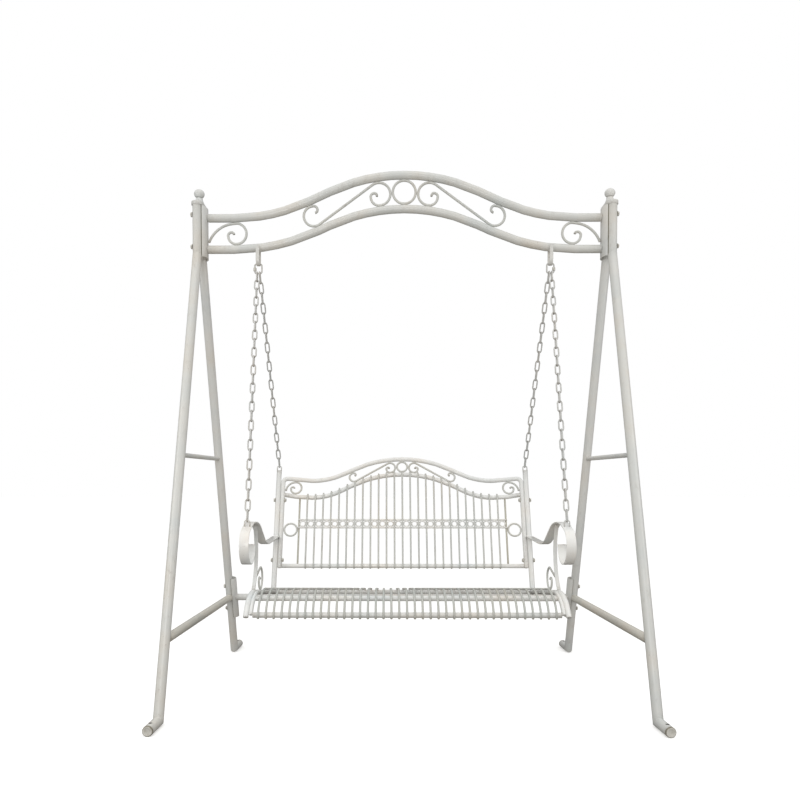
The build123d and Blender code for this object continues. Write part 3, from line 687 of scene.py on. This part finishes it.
def foot_plastic(name):
    """The plug in a foot's end: pale plastic, scuffed and a little dusty."""
    made = Tree(name)
    cloud = made.noise(70.0, 5, 0.6)
    tone = made.ramp(cloud, list(zip((0.32, 0.55, 0.75), PLUG_GREY)))
    scuff = made.grade(made.noise(300.0, 6, 0.7, 0.8), 0.60, 0.74, 0, 0.6)
    made.join(made.mix(scuff, tone, SCUFF), made.shader.inputs["Base Color"])
    made.join(made.grade(cloud, 0.3, 0.7, 0.50, 0.72), made.shader.inputs["Roughness"])
    made.bump((made.noise(1200.0, 2, 0.5), 0.00015))
    return made.material


def painted_shade_material(name, light, dark):
    """Dark brown painted shade for a crease, a gap or a hole, in cloudy tones."""
    made = Tree(name)
    cloud = made.noise(140.0, 4, 0.6)
    tone = made.ramp(cloud, [(0.35, dark), (0.65, light)])
    made.join(tone, made.shader.inputs["Base Color"])
    made.join(made.grade(cloud, 0.3, 0.7, 0.55, 0.8), made.shader.inputs["Roughness"])
    made.bump((made.noise(800.0, 3, 0.6), 0.0001))
    return made.material


def pale_floor(name):
    """A studio floor that almost melts into the white behind it."""
    made = Tree(name)
    tone = made.ramp(made.noise(0.7, 3, 0.5), list(zip((0.35, 0.65), FLOOR_WHITE)))
    made.join(tone, made.shader.inputs["Base Color"])
    made.shader.inputs["Roughness"].default_value = 0.9
    made.shader.inputs["Specular IOR Level"].default_value = 0.1
    made.shader.inputs["Emission Color"].default_value = (1, 1, 1, 1)
    made.shader.inputs["Emission Strength"].default_value = 0.36
    return made.material


# The materials. A paint has its share of stains, share of wear, grain and shades.

# Painted shade: a dark strip in the crease along each plate's edge.
PAINTED_SHADE = painted_shade_material("seam_painted_shade", srgb(122, 117, 98), srgb(88, 82, 66))
# Painted shade: a darker ring in the gap where each foot's plug meets the tube.
COLLAR_PAINTED_SHADE = painted_shade_material("collar_painted_shade", srgb(158, 154, 140), srgb(122, 116, 102))
# Painted shade: a near-black disc for the dark inside of each foot's hole.
HOLE = painted_shade_material("foot_hole_painted_shade", srgb(38, 32, 26), srgb(16, 14, 12))
PAINT = aged_paint("antique_white_paint", 0.30, 0.60, 700.0)
CHAIN_PAINT = aged_paint("chain_paint", 0.55, 0.85, 900.0, (0.80, 0.80, 0.80))
# Painted shade: a darker copy of the paint for the thin scrolls and rings.
SHADED_SCROLL_PAINT = aged_paint("scroll_paint_painted_shade", 0.40, 0.60, 900.0, (0.84, 0.84, 0.82))
# Painted shade and painted light: seat rods darker in front and lighter towards the rear, where they lie
# close together.
ROD_PAINT = aged_paint("rod_paint", 0.45, 0.60, 900.0, (0.68, 0.69, 0.67), (1.16, 1.16, 1.14))
BACK_ROD_PAINT = aged_paint("back_rod_paint", 0.40, 0.60, 900.0, (0.84, 0.85, 0.84))
STILE_PAINT = aged_paint("stile_paint", 0.45, 0.60, 900.0, (0.72, 0.70, 0.62))
# Painted light: a lighter copy of the paint for the back, arms and seat, which lie in more shade than the
# front legs.
LIT_SEAT_PAINT = aged_paint("seat_paint_painted_light", 0.26, 0.50, 700.0, (1.14, 1.14, 1.15))
# Painted shade: a darker copy of the paint for the front legs and posts and the beam's tubes, which catch
# more light.
SHADED_LEG_PAINT = aged_paint("leg_paint_painted_shade", 0.30, 0.40, 700.0, (0.94, 0.94, 0.93))
BRACE_PAINT = aged_paint("brace_paint", 0.35, 0.60, 700.0, (0.96, 0.92, 0.85))
STEEL = worn_steel("screw_steel_worn")
PLASTIC = foot_plastic("foot_plug_plastic")

# Bent and straight bars

SQUARE_TO_ROUND = 2 / math.sqrt(math.pi)  # a round wire with the area of the model's square one
LINK_WEAR = 5 * MM  # reach round the two places where a link bears
BAR_STEPS = (0, 6, 12, 20, 32, 50, 80)
BAR_FACETS = 24
BAR_WEAR = 18 * MM
SEAT_ROD_TIPS = (8 * MM, 0)  # added at the rods' two ends
BACK_ROD_TIPS = (2.5 * MM, 2.5 * MM)


def bar_section(shape, corners, normal, run, facets):
    """The section of a flat bar, a round tube, or a rod that the model makes square."""
    if shape == "flat":
        width = 2 * max(abs(corner.dot(normal)) for corner in corners)
        thickness = 2 * max(abs(corner.dot(normal.cross(run))) for corner in corners)
        return flat_section(width, thickness)
    radius = max(corner.length for corner in corners)
    if shape == "rod":
        radius = radius / math.sqrt(2) * SQUARE_TO_ROUND
    return round_section(radius, facets)


def bearing_spots(line):
    """The two ends of a link, where the next links rub."""
    middle = middle_of(line)
    far = max(line, key=lambda spot: (spot - middle).length)
    return [(far, LINK_WEAR), (middle * 2 - far, LINK_WEAR)]


def bent_node(name, sides, smoothing, shape, facets=16, material=PAINT, wear_ends=1.0,
              link_wear=False, tips=(0, 0)):
    """Draw a node's bent bars again. Sides are the corners of their section in the model."""
    piece = Piece()
    mesh = clean_mesh(name)
    for group in islands(mesh):
        points, closed, lines = centre_line(group, sides)
        corners, run = section_corners(lines, points)
        if not closed and (points[0] - points[-1]).dot(Vector((0, 1, 1))) > 0:
            points.reverse()  # an open line starts at its lower front end
        for end, near, length in ((0, 1, tips[0]), (-1, -2, tips[1])):
            if length:
                points[end] = points[end] + (points[end] - points[near]).normalized() * length
        normal = plane_normal(points, closed)
        line = curve_through(points, closed) if smoothing == "through" else curve_inside(points, closed)
        section = bar_section(shape, corners, normal, run, facets)
        spots = bearing_spots(line) if link_wear else ()
        piece.bar(line, closed, section, normal, wear_ends, worn_spots=spots)
    mesh.free()
    piece.build(name + "_smooth", material, body_of[name], [name])


def straight_node(name, material=PAINT):
    """Draw the straight bars of a node again."""
    piece = Piece()
    mesh = clean_mesh(name)
    for group in islands(mesh):
        start, end, radius = straight_axis(group)
        length = (end - start).length
        near = steps_from_end(length, BAR_STEPS)
        steps = near + [length - step for step in reversed(near)]
        line = [start + (end - start) * step / length for step in steps]
        normal = (end - start).normalized().orthogonal()
        section = round_section(radius, BAR_FACETS)
        piece.bar(line, False, section, normal, wear_length=BAR_WEAR, soft_ends=False)
    mesh.free()
    piece.build(name + "_round", material, body_of[name], [name])


for name in ("beam_upper_tube", "beam_lower_tube"):
    bent_node(name, 12, "through", "round", 32, SHADED_LEG_PAINT, wear_ends=0.35)
bent_node("beam_ring", 5, "inside", "round", 16, SHADED_SCROLL_PAINT)
for name in ("beam_long_scrolls", "beam_end_scrolls", "arm_scrolls"):
    bent_node(name, 5, "through", "round", 16, SHADED_SCROLL_PAINT)
for name in ("back_long_scrolls", "back_end_scrolls"):
    bent_node(name, 5, "through", "round", 12, SHADED_SCROLL_PAINT)
for name in ("back_panel_ring", "back_side_rings"):
    bent_node(name, 5, "inside", "round", 12, SHADED_SCROLL_PAINT)
bent_node("back_frame_tube", 8, "through", "round", 24, LIT_SEAT_PAINT, wear_ends=0.5)
bent_node("back_inner_arch", 8, "through", "round", 24, LIT_SEAT_PAINT)
bent_node("back_rods", 4, "inside", "rod", 12, BACK_ROD_PAINT, tips=BACK_ROD_TIPS)
bent_node("back_band_rings", 4, "inside", "rod", 10, LIT_SEAT_PAINT)
bent_node("seat_rods", 4, "inside", "rod", 12, ROD_PAINT, tips=SEAT_ROD_TIPS)
bent_node("hanger_straps", 4, "through", "flat", wear_ends=0.3)
for side in SIDES:
    bent_node("arm_band_" + side, 4, "through", "flat", material=LIT_SEAT_PAINT, wear_ends=0.6)
    bent_node("side_rail_" + side, 8, "through", "round", 24, LIT_SEAT_PAINT, wear_ends=0.5)
    bent_node("seat_edge_tube_" + side, 8, "through", "round", 20, LIT_SEAT_PAINT, wear_ends=0.5)
    bent_node("hanger_ring_" + side, 6, "inside", "round", 16, CHAIN_PAINT)
    for chain in ("chain_front_", "chain_rear_"):
        bent_node(chain + side, 4, "inside", "rod", 10, CHAIN_PAINT, link_wear=True)
bent_node("arm_supports", 4, "through", "flat", wear_ends=0.6)
for name in ("post_eyes", "arm_eyes"):
    bent_node(name, 6, "inside", "round", 12)

for name in ("crossbar_lower_left", "crossbar_lower_right"):
    straight_node(name, BRACE_PAINT)
for name in ("rear_stretcher", "crossbar_upper_left", "crossbar_upper_right", "seat_front_tube"):
    straight_node(name)
for name in ("back_post_left", "back_post_right", "seat_nose_tube", "seat_rear_tube", "back_bottom_rail",
             "back_band_rails"):
    straight_node(name, LIT_SEAT_PAINT)
straight_node("back_inner_stiles", STILE_PAINT)

# Legs, feet and posts: round tubes with a sharp mitre at the heel and a slight bend at the top

LEG_SIDES = 16  # of the model's tube
LEG_RADIUS = 18 * MM * math.cos(math.pi / LEG_SIDES)  # to the flats of the model's tube
LEG_FACETS = 32


def leg_points(leg_name, post_name):
    """The tip of a foot, its heel, the seam between leg and post, and the post's top."""
    corners = sorted(node_corners(leg_name), key=lambda co: -abs(co.y))
    tip = middle_of(corners[:LEG_SIDES])
    rest = sorted(corners[LEG_SIDES:], key=lambda co: co.z)
    heel = middle_of(rest[:LEG_SIDES])
    seam = middle_of(rest[LEG_SIDES:])
    top = Vector((seam.x, seam.y, max(co.z for co in node_corners(post_name))))
    return tip, heel, seam, top


leg_lines = {}
for end, paint in (("front", SHADED_LEG_PAINT), ("rear", PAINT)):
    for side in SIDES:
        leg_name = f"leg_{end}_{side}"
        post_name = f"post_{end}_{side}"
        tip, heel, seam, top = leg_points(leg_name, post_name)
        leg_lines[leg_name] = (tip, heel, seam, top)
        across = (tip - heel).cross(seam - heel).normalized()
        cut = ((seam - heel).normalized() + UP).normalized()
        leg = Piece()
        leg.mitred([tip, heel, seam], LEG_RADIUS, LEG_FACETS, across, last_cut=cut)
        leg.build(leg_name + "_round", paint, body_of[leg_name], [leg_name])
        post = Piece()
        post.mitred([seam, top], LEG_RADIUS, LEG_FACETS, across, first_cut=cut)
        post.build(post_name + "_round", paint, body_of[post_name], [post_name])

# Brackets and saddles: half-oval plates that stand on the posts and legs, with sizes in mm

BRACKET_PLATE = (36, 15.7, 4, 17)  # half width, depth, wall, inset from the middle of the tubes
BRACKET_SEAMS = (36.2, 16.8)  # reach and inset of the strips of painted shade along its edges
SADDLE_PLATE = (18, 22, 3, 14)
SADDLE_SEAMS = (12.6, 13.2)
SADDLE_LENGTH = 195
SADDLE_HEIGHT = 275  # of its middle above the ground
SEAM_RADIUS = 2.2
PLATE_EDGE = ((0, 0.7), (0.25, 0.25), (0.8, 0))  # distance from the end, what the rounding takes off
PLATE_PARTS = 40


def oval_plate(piece, origin, up, along, inward, height, half_width, depth, wall, inset):
    """A half-oval plate, open on the outer side, its edges slightly rounded."""
    turns = [math.pi * number / PLATE_PARTS for number in range(PLATE_PARTS + 1)]
    levels = list(PLATE_EDGE) + [(height - level, shrink) for level, shrink in reversed(PLATE_EDGE)]
    rings = []
    for level, shrink in levels:
        outer = (half_width - shrink, depth - shrink, turns)
        inner = (half_width - wall + shrink, depth - wall + shrink, turns[::-1])
        ring = []
        for reach, bulge, order in (outer, inner):
            for turn in order:
                ring.append(origin + up * level * MM + along * reach * math.cos(turn) * MM
                            + inward * (inset + bulge * math.sin(turn)) * MM)
        rings.append(ring)
    piece.skin(rings, [0.5, 0.4, 0.1, 0.1, 0.4, 0.5])


def edge_seams(piece, origin, up, along, inward, height, reach, inset):
    """Thin bars along both edges of a plate, 1 mm short of its ends, as painted shade in the crease next to
    the tube.
    """
    for end in (-1, 1):
        foot = origin + inward * inset * MM + along * end * reach * MM
        run = [foot + up * MM, foot + up * (height - 1) * MM]
        piece.bar(run, False, round_section(SEAM_RADIUS * MM, 8), along)


seams = Piece()
saddles = Piece()
post_pairs = {}
for side in SIDES:
    front_tip, front_heel, front_seam, _ = leg_lines[f"leg_front_{side}"]
    _, rear_heel, rear_seam, _ = leg_lines[f"leg_rear_{side}"]
    along = (front_tip - front_heel).normalized()
    inward = UP.cross(along)
    if inward.x * front_heel.x > 0:
        inward = -inward
    middle = (front_seam + rear_seam) / 2
    post_pairs[side] = (middle, along, inward)

    name = "beam_bracket_" + side
    low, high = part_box(name)
    origin = Vector((middle.x, middle.y, low[2]))
    height = (high[2] - low[2]) / MM
    bracket = Piece()
    oval_plate(bracket, origin, UP, along, inward, height, *BRACKET_PLATE)
    bracket.build(name + "_smooth", PAINT, body_of[name], [name])
    edge_seams(seams, origin, UP, along, inward, height, *BRACKET_SEAMS)

    leg_run = (rear_seam - rear_heel).normalized()
    center = rear_heel + leg_run * ((SADDLE_HEIGHT * MM - rear_heel.z) / leg_run.z)
    across = inward.cross(leg_run).normalized()
    origin = center - leg_run * SADDLE_LENGTH / 2 * MM
    oval_plate(saddles, origin, leg_run, across, inward, SADDLE_LENGTH, *SADDLE_PLATE)
    edge_seams(seams, origin, leg_run, across, inward, SADDLE_LENGTH, *SADDLE_SEAMS)
saddles.build("stretcher_saddles_smooth", PAINT, "stand", ["stretcher_saddles"])
# The strips along the plates' edges are painted shade in the crease, drawn as dark bars.
seams.build("bracket_seam_painted_shade", PAINTED_SHADE, "stand")

# Finials: a cap over both posts, drawn in to a neck with a ball, with sizes in mm

CAP = (104, 44)  # length and width
CAP_RIM = ((0, 0.8), (0.4, 0.2), (1.0, 0), (12.4, 0), (13.5, 0.5), (14.0, 1.6))  # height, shrink
CAP_POINTS = 48
NECK = (27.6, 26)
NECK_RISE = 25  # above the rim
NECK_PARTS = 14
NECK_HOLLOW = 2.1  # the sweep from rim to neck is hollow above 1
BALL_RADIUS = 20.6
BALL_HALF_HEIGHT = 18
BALL_HEIGHT = 56.6  # of its middle
BALL_FROM = -56  # degrees, where the ball leaves the neck
BALL_PARTS = 18


def oval_ring(center, along, inward, height, length, width):
    """One level of a cap: round ends and straight sides."""
    ring = []
    for number in range(CAP_POINTS):
        turn = 2 * math.pi * (number + 0.5) / CAP_POINTS
        run = (length - width) / 2 * (1 if math.sin(turn) > 0 else -1) + width / 2 * math.sin(turn)
        ring.append(center + UP * (height * MM) + along * run * MM
                    + inward * width / 2 * math.cos(turn) * MM)
    return ring


def finial_cap(piece, base, along, inward):
    """The cap's rim and its sweep up to the neck."""
    levels = [(height, [size - 2 * shrink for size in CAP]) for height, shrink in CAP_RIM]
    rim_height, rim = levels[-1]
    for number in range(1, NECK_PARTS + 1):
        share = number / NECK_PARTS
        drawn_in = 1 - (1 - share) ** NECK_HOLLOW
        sizes = [wide + (narrow - wide) * drawn_in for wide, narrow in zip(rim, NECK)]
        levels.append((rim_height + NECK_RISE * share, sizes))
    rings = [oval_ring(base, along, inward, height, *sizes) for height, sizes in levels]
    piece.skin(rings, [0.4] * 3 + [0.3] * 3 + [0.0] * (NECK_PARTS - 1) + [0.6])


def finial_ball():
    """The ball's profile, from the neck to its top."""
    profile = []
    for number in range(BALL_PARTS + 1):
        turn = math.radians(BALL_FROM + (90 - BALL_FROM) * number / BALL_PARTS)
        height = BALL_HEIGHT + BALL_HALF_HEIGHT * math.sin(turn)
        profile.append((height, max(0.2, BALL_RADIUS * math.cos(turn))))
    return in_metres(profile)


for side in SIDES:
    name = "finial_" + side
    middle, along, inward = post_pairs[side]
    base = Vector((middle.x, middle.y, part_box(name)[0][2]))
    finial = Piece()
    finial_cap(finial, base, along, inward)
    finial.lathe(base, UP, finial_ball(), 40)
    finial.build(name + "_smooth", PAINT, body_of[name], [name])

# Screws: a washer and a hexagon with a turned crown

WASHER_PROFILE = ((0, 1.18), (1.1, 1.18), (1.5, 1.12))  # height in mm, share of the head's corner radius
WASHER_MIDDLE = (1.5 * MM, 0.2 * MM)
HEAD_FOOT = 1.4  # mm, where the hexagon begins inside the washer
HEAD_POINTS = 36
CROWN_SHARE = 0.92  # of the distance to a flat, as far as the top is flat
SLOPE_SHARE = 0.94  # of it, from where the shoulder slopes
SLOPE = 0.55
SHOULDER_DROP = 0.2  # mm
SIXTH = math.pi / 3
PARALLEL = 0.99  # cosine between directions that count as one
STILE_FROM = 520 * MM  # the back's frame tube is upright beyond this
STILE_PLACE = 532.5 * MM  # of the uprights' axes


def hexagon(side, up, flat, first_turn):
    """Places round a hexagon, as seen from its middle, and the distance of each."""
    places = []
    for number in range(HEAD_POINTS):
        turn = 2 * math.pi * number / HEAD_POINTS
        reach = flat / math.cos((turn + first_turn) % SIXTH - SIXTH / 2)
        places.append(((side * math.cos(turn) + up * math.sin(turn)) * reach, reach))
    return places


def hexagon_axis(mesh, group):
    """The direction that a hexagon head stands along, from its two large faces."""
    areas = []
    corners = set(group)
    for face in mesh.faces:
        if face.verts[0] in corners:
            for entry in areas:
                if abs(entry[0].dot(face.normal)) > PARALLEL:
                    entry[1] += face.calc_area()
                    break
            else:
                areas.append([face.normal.copy(), face.calc_area()])
    return max(areas, key=lambda entry: entry[1])[0]


def line_point(start, end, place):
    """The nearest place on a straight line between two points."""
    run = end - start
    share = min(1, max(0, (place - start).dot(run) / run.length_squared))
    return start + run * share


def head_rings(seat, axis, side, corner, height):
    """A head's lower edge, the turned shoulder above it, and its flat top."""
    flat = corner * math.cos(SIXTH / 2)
    rings = [[], [], []]
    for place, reach in hexagon(side, axis.cross(side), flat, SIXTH / 2):
        turned = height - SHOULDER_DROP - (reach - flat * SLOPE_SHARE) / MM * SLOPE
        rings[0].append(seat + axis * HEAD_FOOT * MM + place)
        rings[1].append(seat + axis * turned * MM + place)
        rings[2].append(seat + axis * height * MM + place * (flat * CROWN_SHARE / reach))
    return rings


def screw_heads(name, lines):
    """Washer and head for each screw of a node, standing away from the nearest bar."""
    piece = Piece()
    mesh = clean_mesh(name)
    mesh.normal_update()
    for group in islands(mesh):
        axis = hexagon_axis(mesh, group)
        center = middle_of([vert.co for vert in group])
        nearest = min((line_point(a, b, center) for a, b in lines), key=lambda spot: (spot - center).length)
        if (center - nearest).dot(axis) < 0:
            axis = -axis
        runs = [(vert.co - center).dot(axis) for vert in group]
        seat = center + axis * min(runs)
        height = (max(runs) - min(runs)) / MM
        side = max(((vert.co - center) - axis * (vert.co - center).dot(axis) for vert in group),
                   key=lambda offset: offset.length)
        corner = side.length
        washer = [(level * MM, corner * share) for level, share in WASHER_PROFILE]
        piece.lathe(seat, axis, washer + [WASHER_MIDDLE], 28, 0.2)
        piece.skin(head_rings(seat, axis, side.normalized(), corner, height), [0.5, 0.1, 0.2])
    mesh.free()
    piece.build(name + "_heads", STEEL, body_of[name], [name], HEAD_SHARP)


def post_line(name):
    """The axis of a straight bar's node."""
    mesh = clean_mesh(name)
    start, end, _ = straight_axis(list(mesh.verts))
    mesh.free()
    return start, end


def stile_line(sign):
    """The axis of one upright of the back's frame tube."""
    x = sign * STILE_PLACE
    stile = [co for co in node_corners("back_frame_tube") if co.x * sign > STILE_FROM]
    low_end = min(stile, key=lambda co: co.z)
    high_end = max(stile, key=lambda co: co.z)
    return Vector((x, low_end.y, low_end.z)), Vector((x, high_end.y, high_end.z))


stand_lines = []
for _, heel, seam, top in leg_lines.values():
    stand_lines += [(heel, seam), (seam, top)]
screw_heads("frame_screws", stand_lines)
seat_lines = [post_line("back_post_" + side) for side in SIDES] + [stile_line(sign) for sign in (-1, 1)]
screw_heads("seat_screws", seat_lines)

# The threaded sleeve that closes each ring of the hangers, with sizes in mm

SLEEVE_PROFILE = ((0, 5.4), (0.8, 6.3), (12.2, 6.3), (13, 5.4))  # height and corner radius
SLEEVE_PLACE = 0.28  # of the ring's height

for side in SIDES:
    name = "hanger_ring_" + side
    low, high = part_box(name)
    wire = (high[1] - low[1]) / 2
    inner_x = low[0] + wire if side == "left" else high[0] - wire
    foot = Vector((inner_x, (low[1] + high[1]) / 2, low[2] * (1 - SLEEVE_PLACE) + high[2] * SLEEVE_PLACE))
    rings = []
    for level, corner in in_metres(SLEEVE_PROFILE):
        places = hexagon(Vector((1, 0, 0)), Vector((0, 1, 0)), corner * math.cos(SIXTH / 2), 0)
        rings.append([foot + UP * level + place for place, _ in places])
    sleeve = Piece()
    sleeve.skin(rings, [0.6, 0.2, 0.2, 0.6])
    sleeve.build(name + "_sleeve", STEEL, body_of[name], sharp=HEAD_SHARP)

# Feet: a plug in the end and a peg hole on top of each, with heights and radii in mm

PLUG_PROFILE = ((5.6, 15.4), (7.5, 15.4), (8.0, 14.2), (8.0, 12.9), (7.5, 12.3), (7.4, 0.2))
# The collar is a darker ring of painted shade in the gap between the tube's end and the plug.
COLLAR_PROFILE = ((-1, 16.6), (0.5, 16.6), (0.6, 17.5), (4.6, 17.6), (6.0, 17.2), (6.9, 16.3), (7.1, 15.3))
HOLE_PLACE = 21  # from the foot's tip
HOLE_SINK = 0.6  # of the profiles' base below the tube's top
RIM_PROFILE = ((-1.2, 7.0), (0.7, 7.0), (1.1, 6.4), (0.9, 5.7))
# The hole is a dark disc just above the tube's top: painted shade for the hole's inside.
HOLE_PROFILE = ((-0.6, 5.7), (0.95, 5.7), (0.96, 0.2))

plugs = Piece()
collars = Piece()
rims = Piece()
holes = Piece()
for tip, heel, _, _ in leg_lines.values():
    out = (tip - heel).normalized()
    plugs.lathe(tip, out, in_metres(PLUG_PROFILE), 40)
    collars.lathe(tip, out, in_metres(COLLAR_PROFILE), 40)
    spot = tip - out * HOLE_PLACE * MM + UP * (LEG_RADIUS - HOLE_SINK * MM)
    rims.lathe(spot, UP, in_metres(RIM_PROFILE), 24, 0.7)
    holes.lathe(spot, UP, in_metres(HOLE_PROFILE), 24)
plugs.build("foot_plugs_round", PLASTIC, "stand", ["foot_plugs"])
collars.build("foot_plug_collars", COLLAR_PAINTED_SHADE, "stand", ["foot_plugs"])
rims.build("foot_hole_rims", PAINT, "stand")
holes.build("foot_hole_shade_discs", HOLE, "stand")

# Floor

FLOOR_REACH = 30

floor_mesh = bpy.data.meshes.new("floor")
floor_corners = [(x * FLOOR_REACH, y * FLOOR_REACH, 0) for x, y in ((-1, -1), (1, -1), (1, 1), (-1, 1))]
floor_mesh.from_pydata(floor_corners, [], [(0, 1, 2, 3)])
floor_mesh.materials.append(pale_floor("pale_floor"))
floor = bpy.data.objects.new("floor", floor_mesh)
bpy.context.scene.collection.objects.link(floor)
floor.visible_diffuse = False
floor.visible_glossy = False
floor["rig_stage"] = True

# The studio round the object: tones from straight below to straight above

SKY = ((0, (0.30, 0.28, 0.25)), (0.5, (0.40, 0.40, 0.39)), (1, (0.86, 0.86, 0.85)))
WALLS = ((0.55, (0.03, 0.03, 0.03)), (0.95, (1, 1, 1)))  # in the gloss, where they darken the bars' edges


def studio_world():
    """A dim warm ground, a bright ceiling, and plain white for the camera."""
    world = bpy.data.worlds.new("studio")
    world.use_nodes = True
    world.node_tree.nodes.clear()
    add = world.node_tree.nodes.new
    join = world.node_tree.links.new
    parts = add("ShaderNodeSeparateXYZ")
    join(add("ShaderNodeTexCoord").outputs["Generated"], parts.inputs["Vector"])
    height = add("ShaderNodeMapRange")
    height.inputs["From Min"].default_value = -1
    join(parts.outputs["Z"], height.inputs["Value"])
    paths = add("ShaderNodeLightPath")

    def background(stops):
        ramp = add("ShaderNodeValToRGB")
        fill_ramp(ramp.color_ramp, stops)
        join(height.outputs["Result"], ramp.inputs["Fac"])
        shader = add("ShaderNodeBackground")
        join(ramp.outputs["Color"], shader.inputs["Color"])
        return shader

    def for_rays(kind, others, shader):
        mix = add("ShaderNodeMixShader")
        join(paths.outputs[kind], mix.inputs["Fac"])
        join(others.outputs[0], mix.inputs[1])
        join(shader.outputs[0], mix.inputs[2])
        return mix

    white = add("ShaderNodeBackground")
    white.inputs["Color"].default_value = (1, 1, 1, 1)
    white.inputs["Strength"].default_value = 1.0
    lit = for_rays("Is Glossy Ray", background(SKY), background(WALLS))
    seen = for_rays("Is Camera Ray", lit, white)
    join(seen.outputs[0], add("ShaderNodeOutputWorld").inputs["Surface"])
    return world


bpy.context.scene.world = studio_world()

# Lights


def area_light(name, place, aim, size, power):
    """A round soft light that shines from a place towards another."""
    light = bpy.data.lights.new(name, "AREA")
    light.shape = "DISK"
    light.size = size
    light.energy = power
    obj = bpy.data.objects.new(name, light)
    obj.location = place
    obj.rotation_mode = "QUATERNION"
    obj.rotation_quaternion = (Vector(aim) - Vector(place)).to_track_quat("-Z", "Y")
    obj.visible_camera = False
    bpy.context.scene.collection.objects.link(obj)


area_light("left_softbox", (-2.6, -1.6, 1.7), (0, 0, 1.1), 1.6, 16)
area_light("right_softbox", (2.6, -1.6, 1.7), (0, 0, 1.1), 1.6, 16)
area_light("front_softbox", (-0.5, -3.7, 1.5), (0, 0, 1.0), 1.3, 26)
area_light("top_softbox", (0, -1.4, 4.4), (0, 0, 1.0), 2.4, 12)

# Camera, fitted to the photograph

PICTURE_WIDTH = 800  # pixels
FOCAL_LENGTH = 694.6  # pixels
SENSOR_WIDTH = 36
CAMERA_PLACE = (-0.0721, -2.7997, 0.8246)
CAMERA_TILT = -0.03  # down from level, in radians
CAMERA_TURN = 0.0063
CAMERA_SHIFT = (0.0229, 0.1254)

camera_data = bpy.data.cameras.new("camera")
camera_data.sensor_width = SENSOR_WIDTH
camera_data.lens = FOCAL_LENGTH / PICTURE_WIDTH * SENSOR_WIDTH
camera_data.shift_x, camera_data.shift_y = CAMERA_SHIFT
camera = bpy.data.objects.new("camera", camera_data)
camera.location = CAMERA_PLACE
camera.rotation_euler = Euler((math.pi / 2 + CAMERA_TILT, 0, CAMERA_TURN))
bpy.context.scene.collection.objects.link(camera)
bpy.context.scene.camera = camera
bpy.context.scene.view_settings.view_transform = "Standard"

low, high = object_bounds()
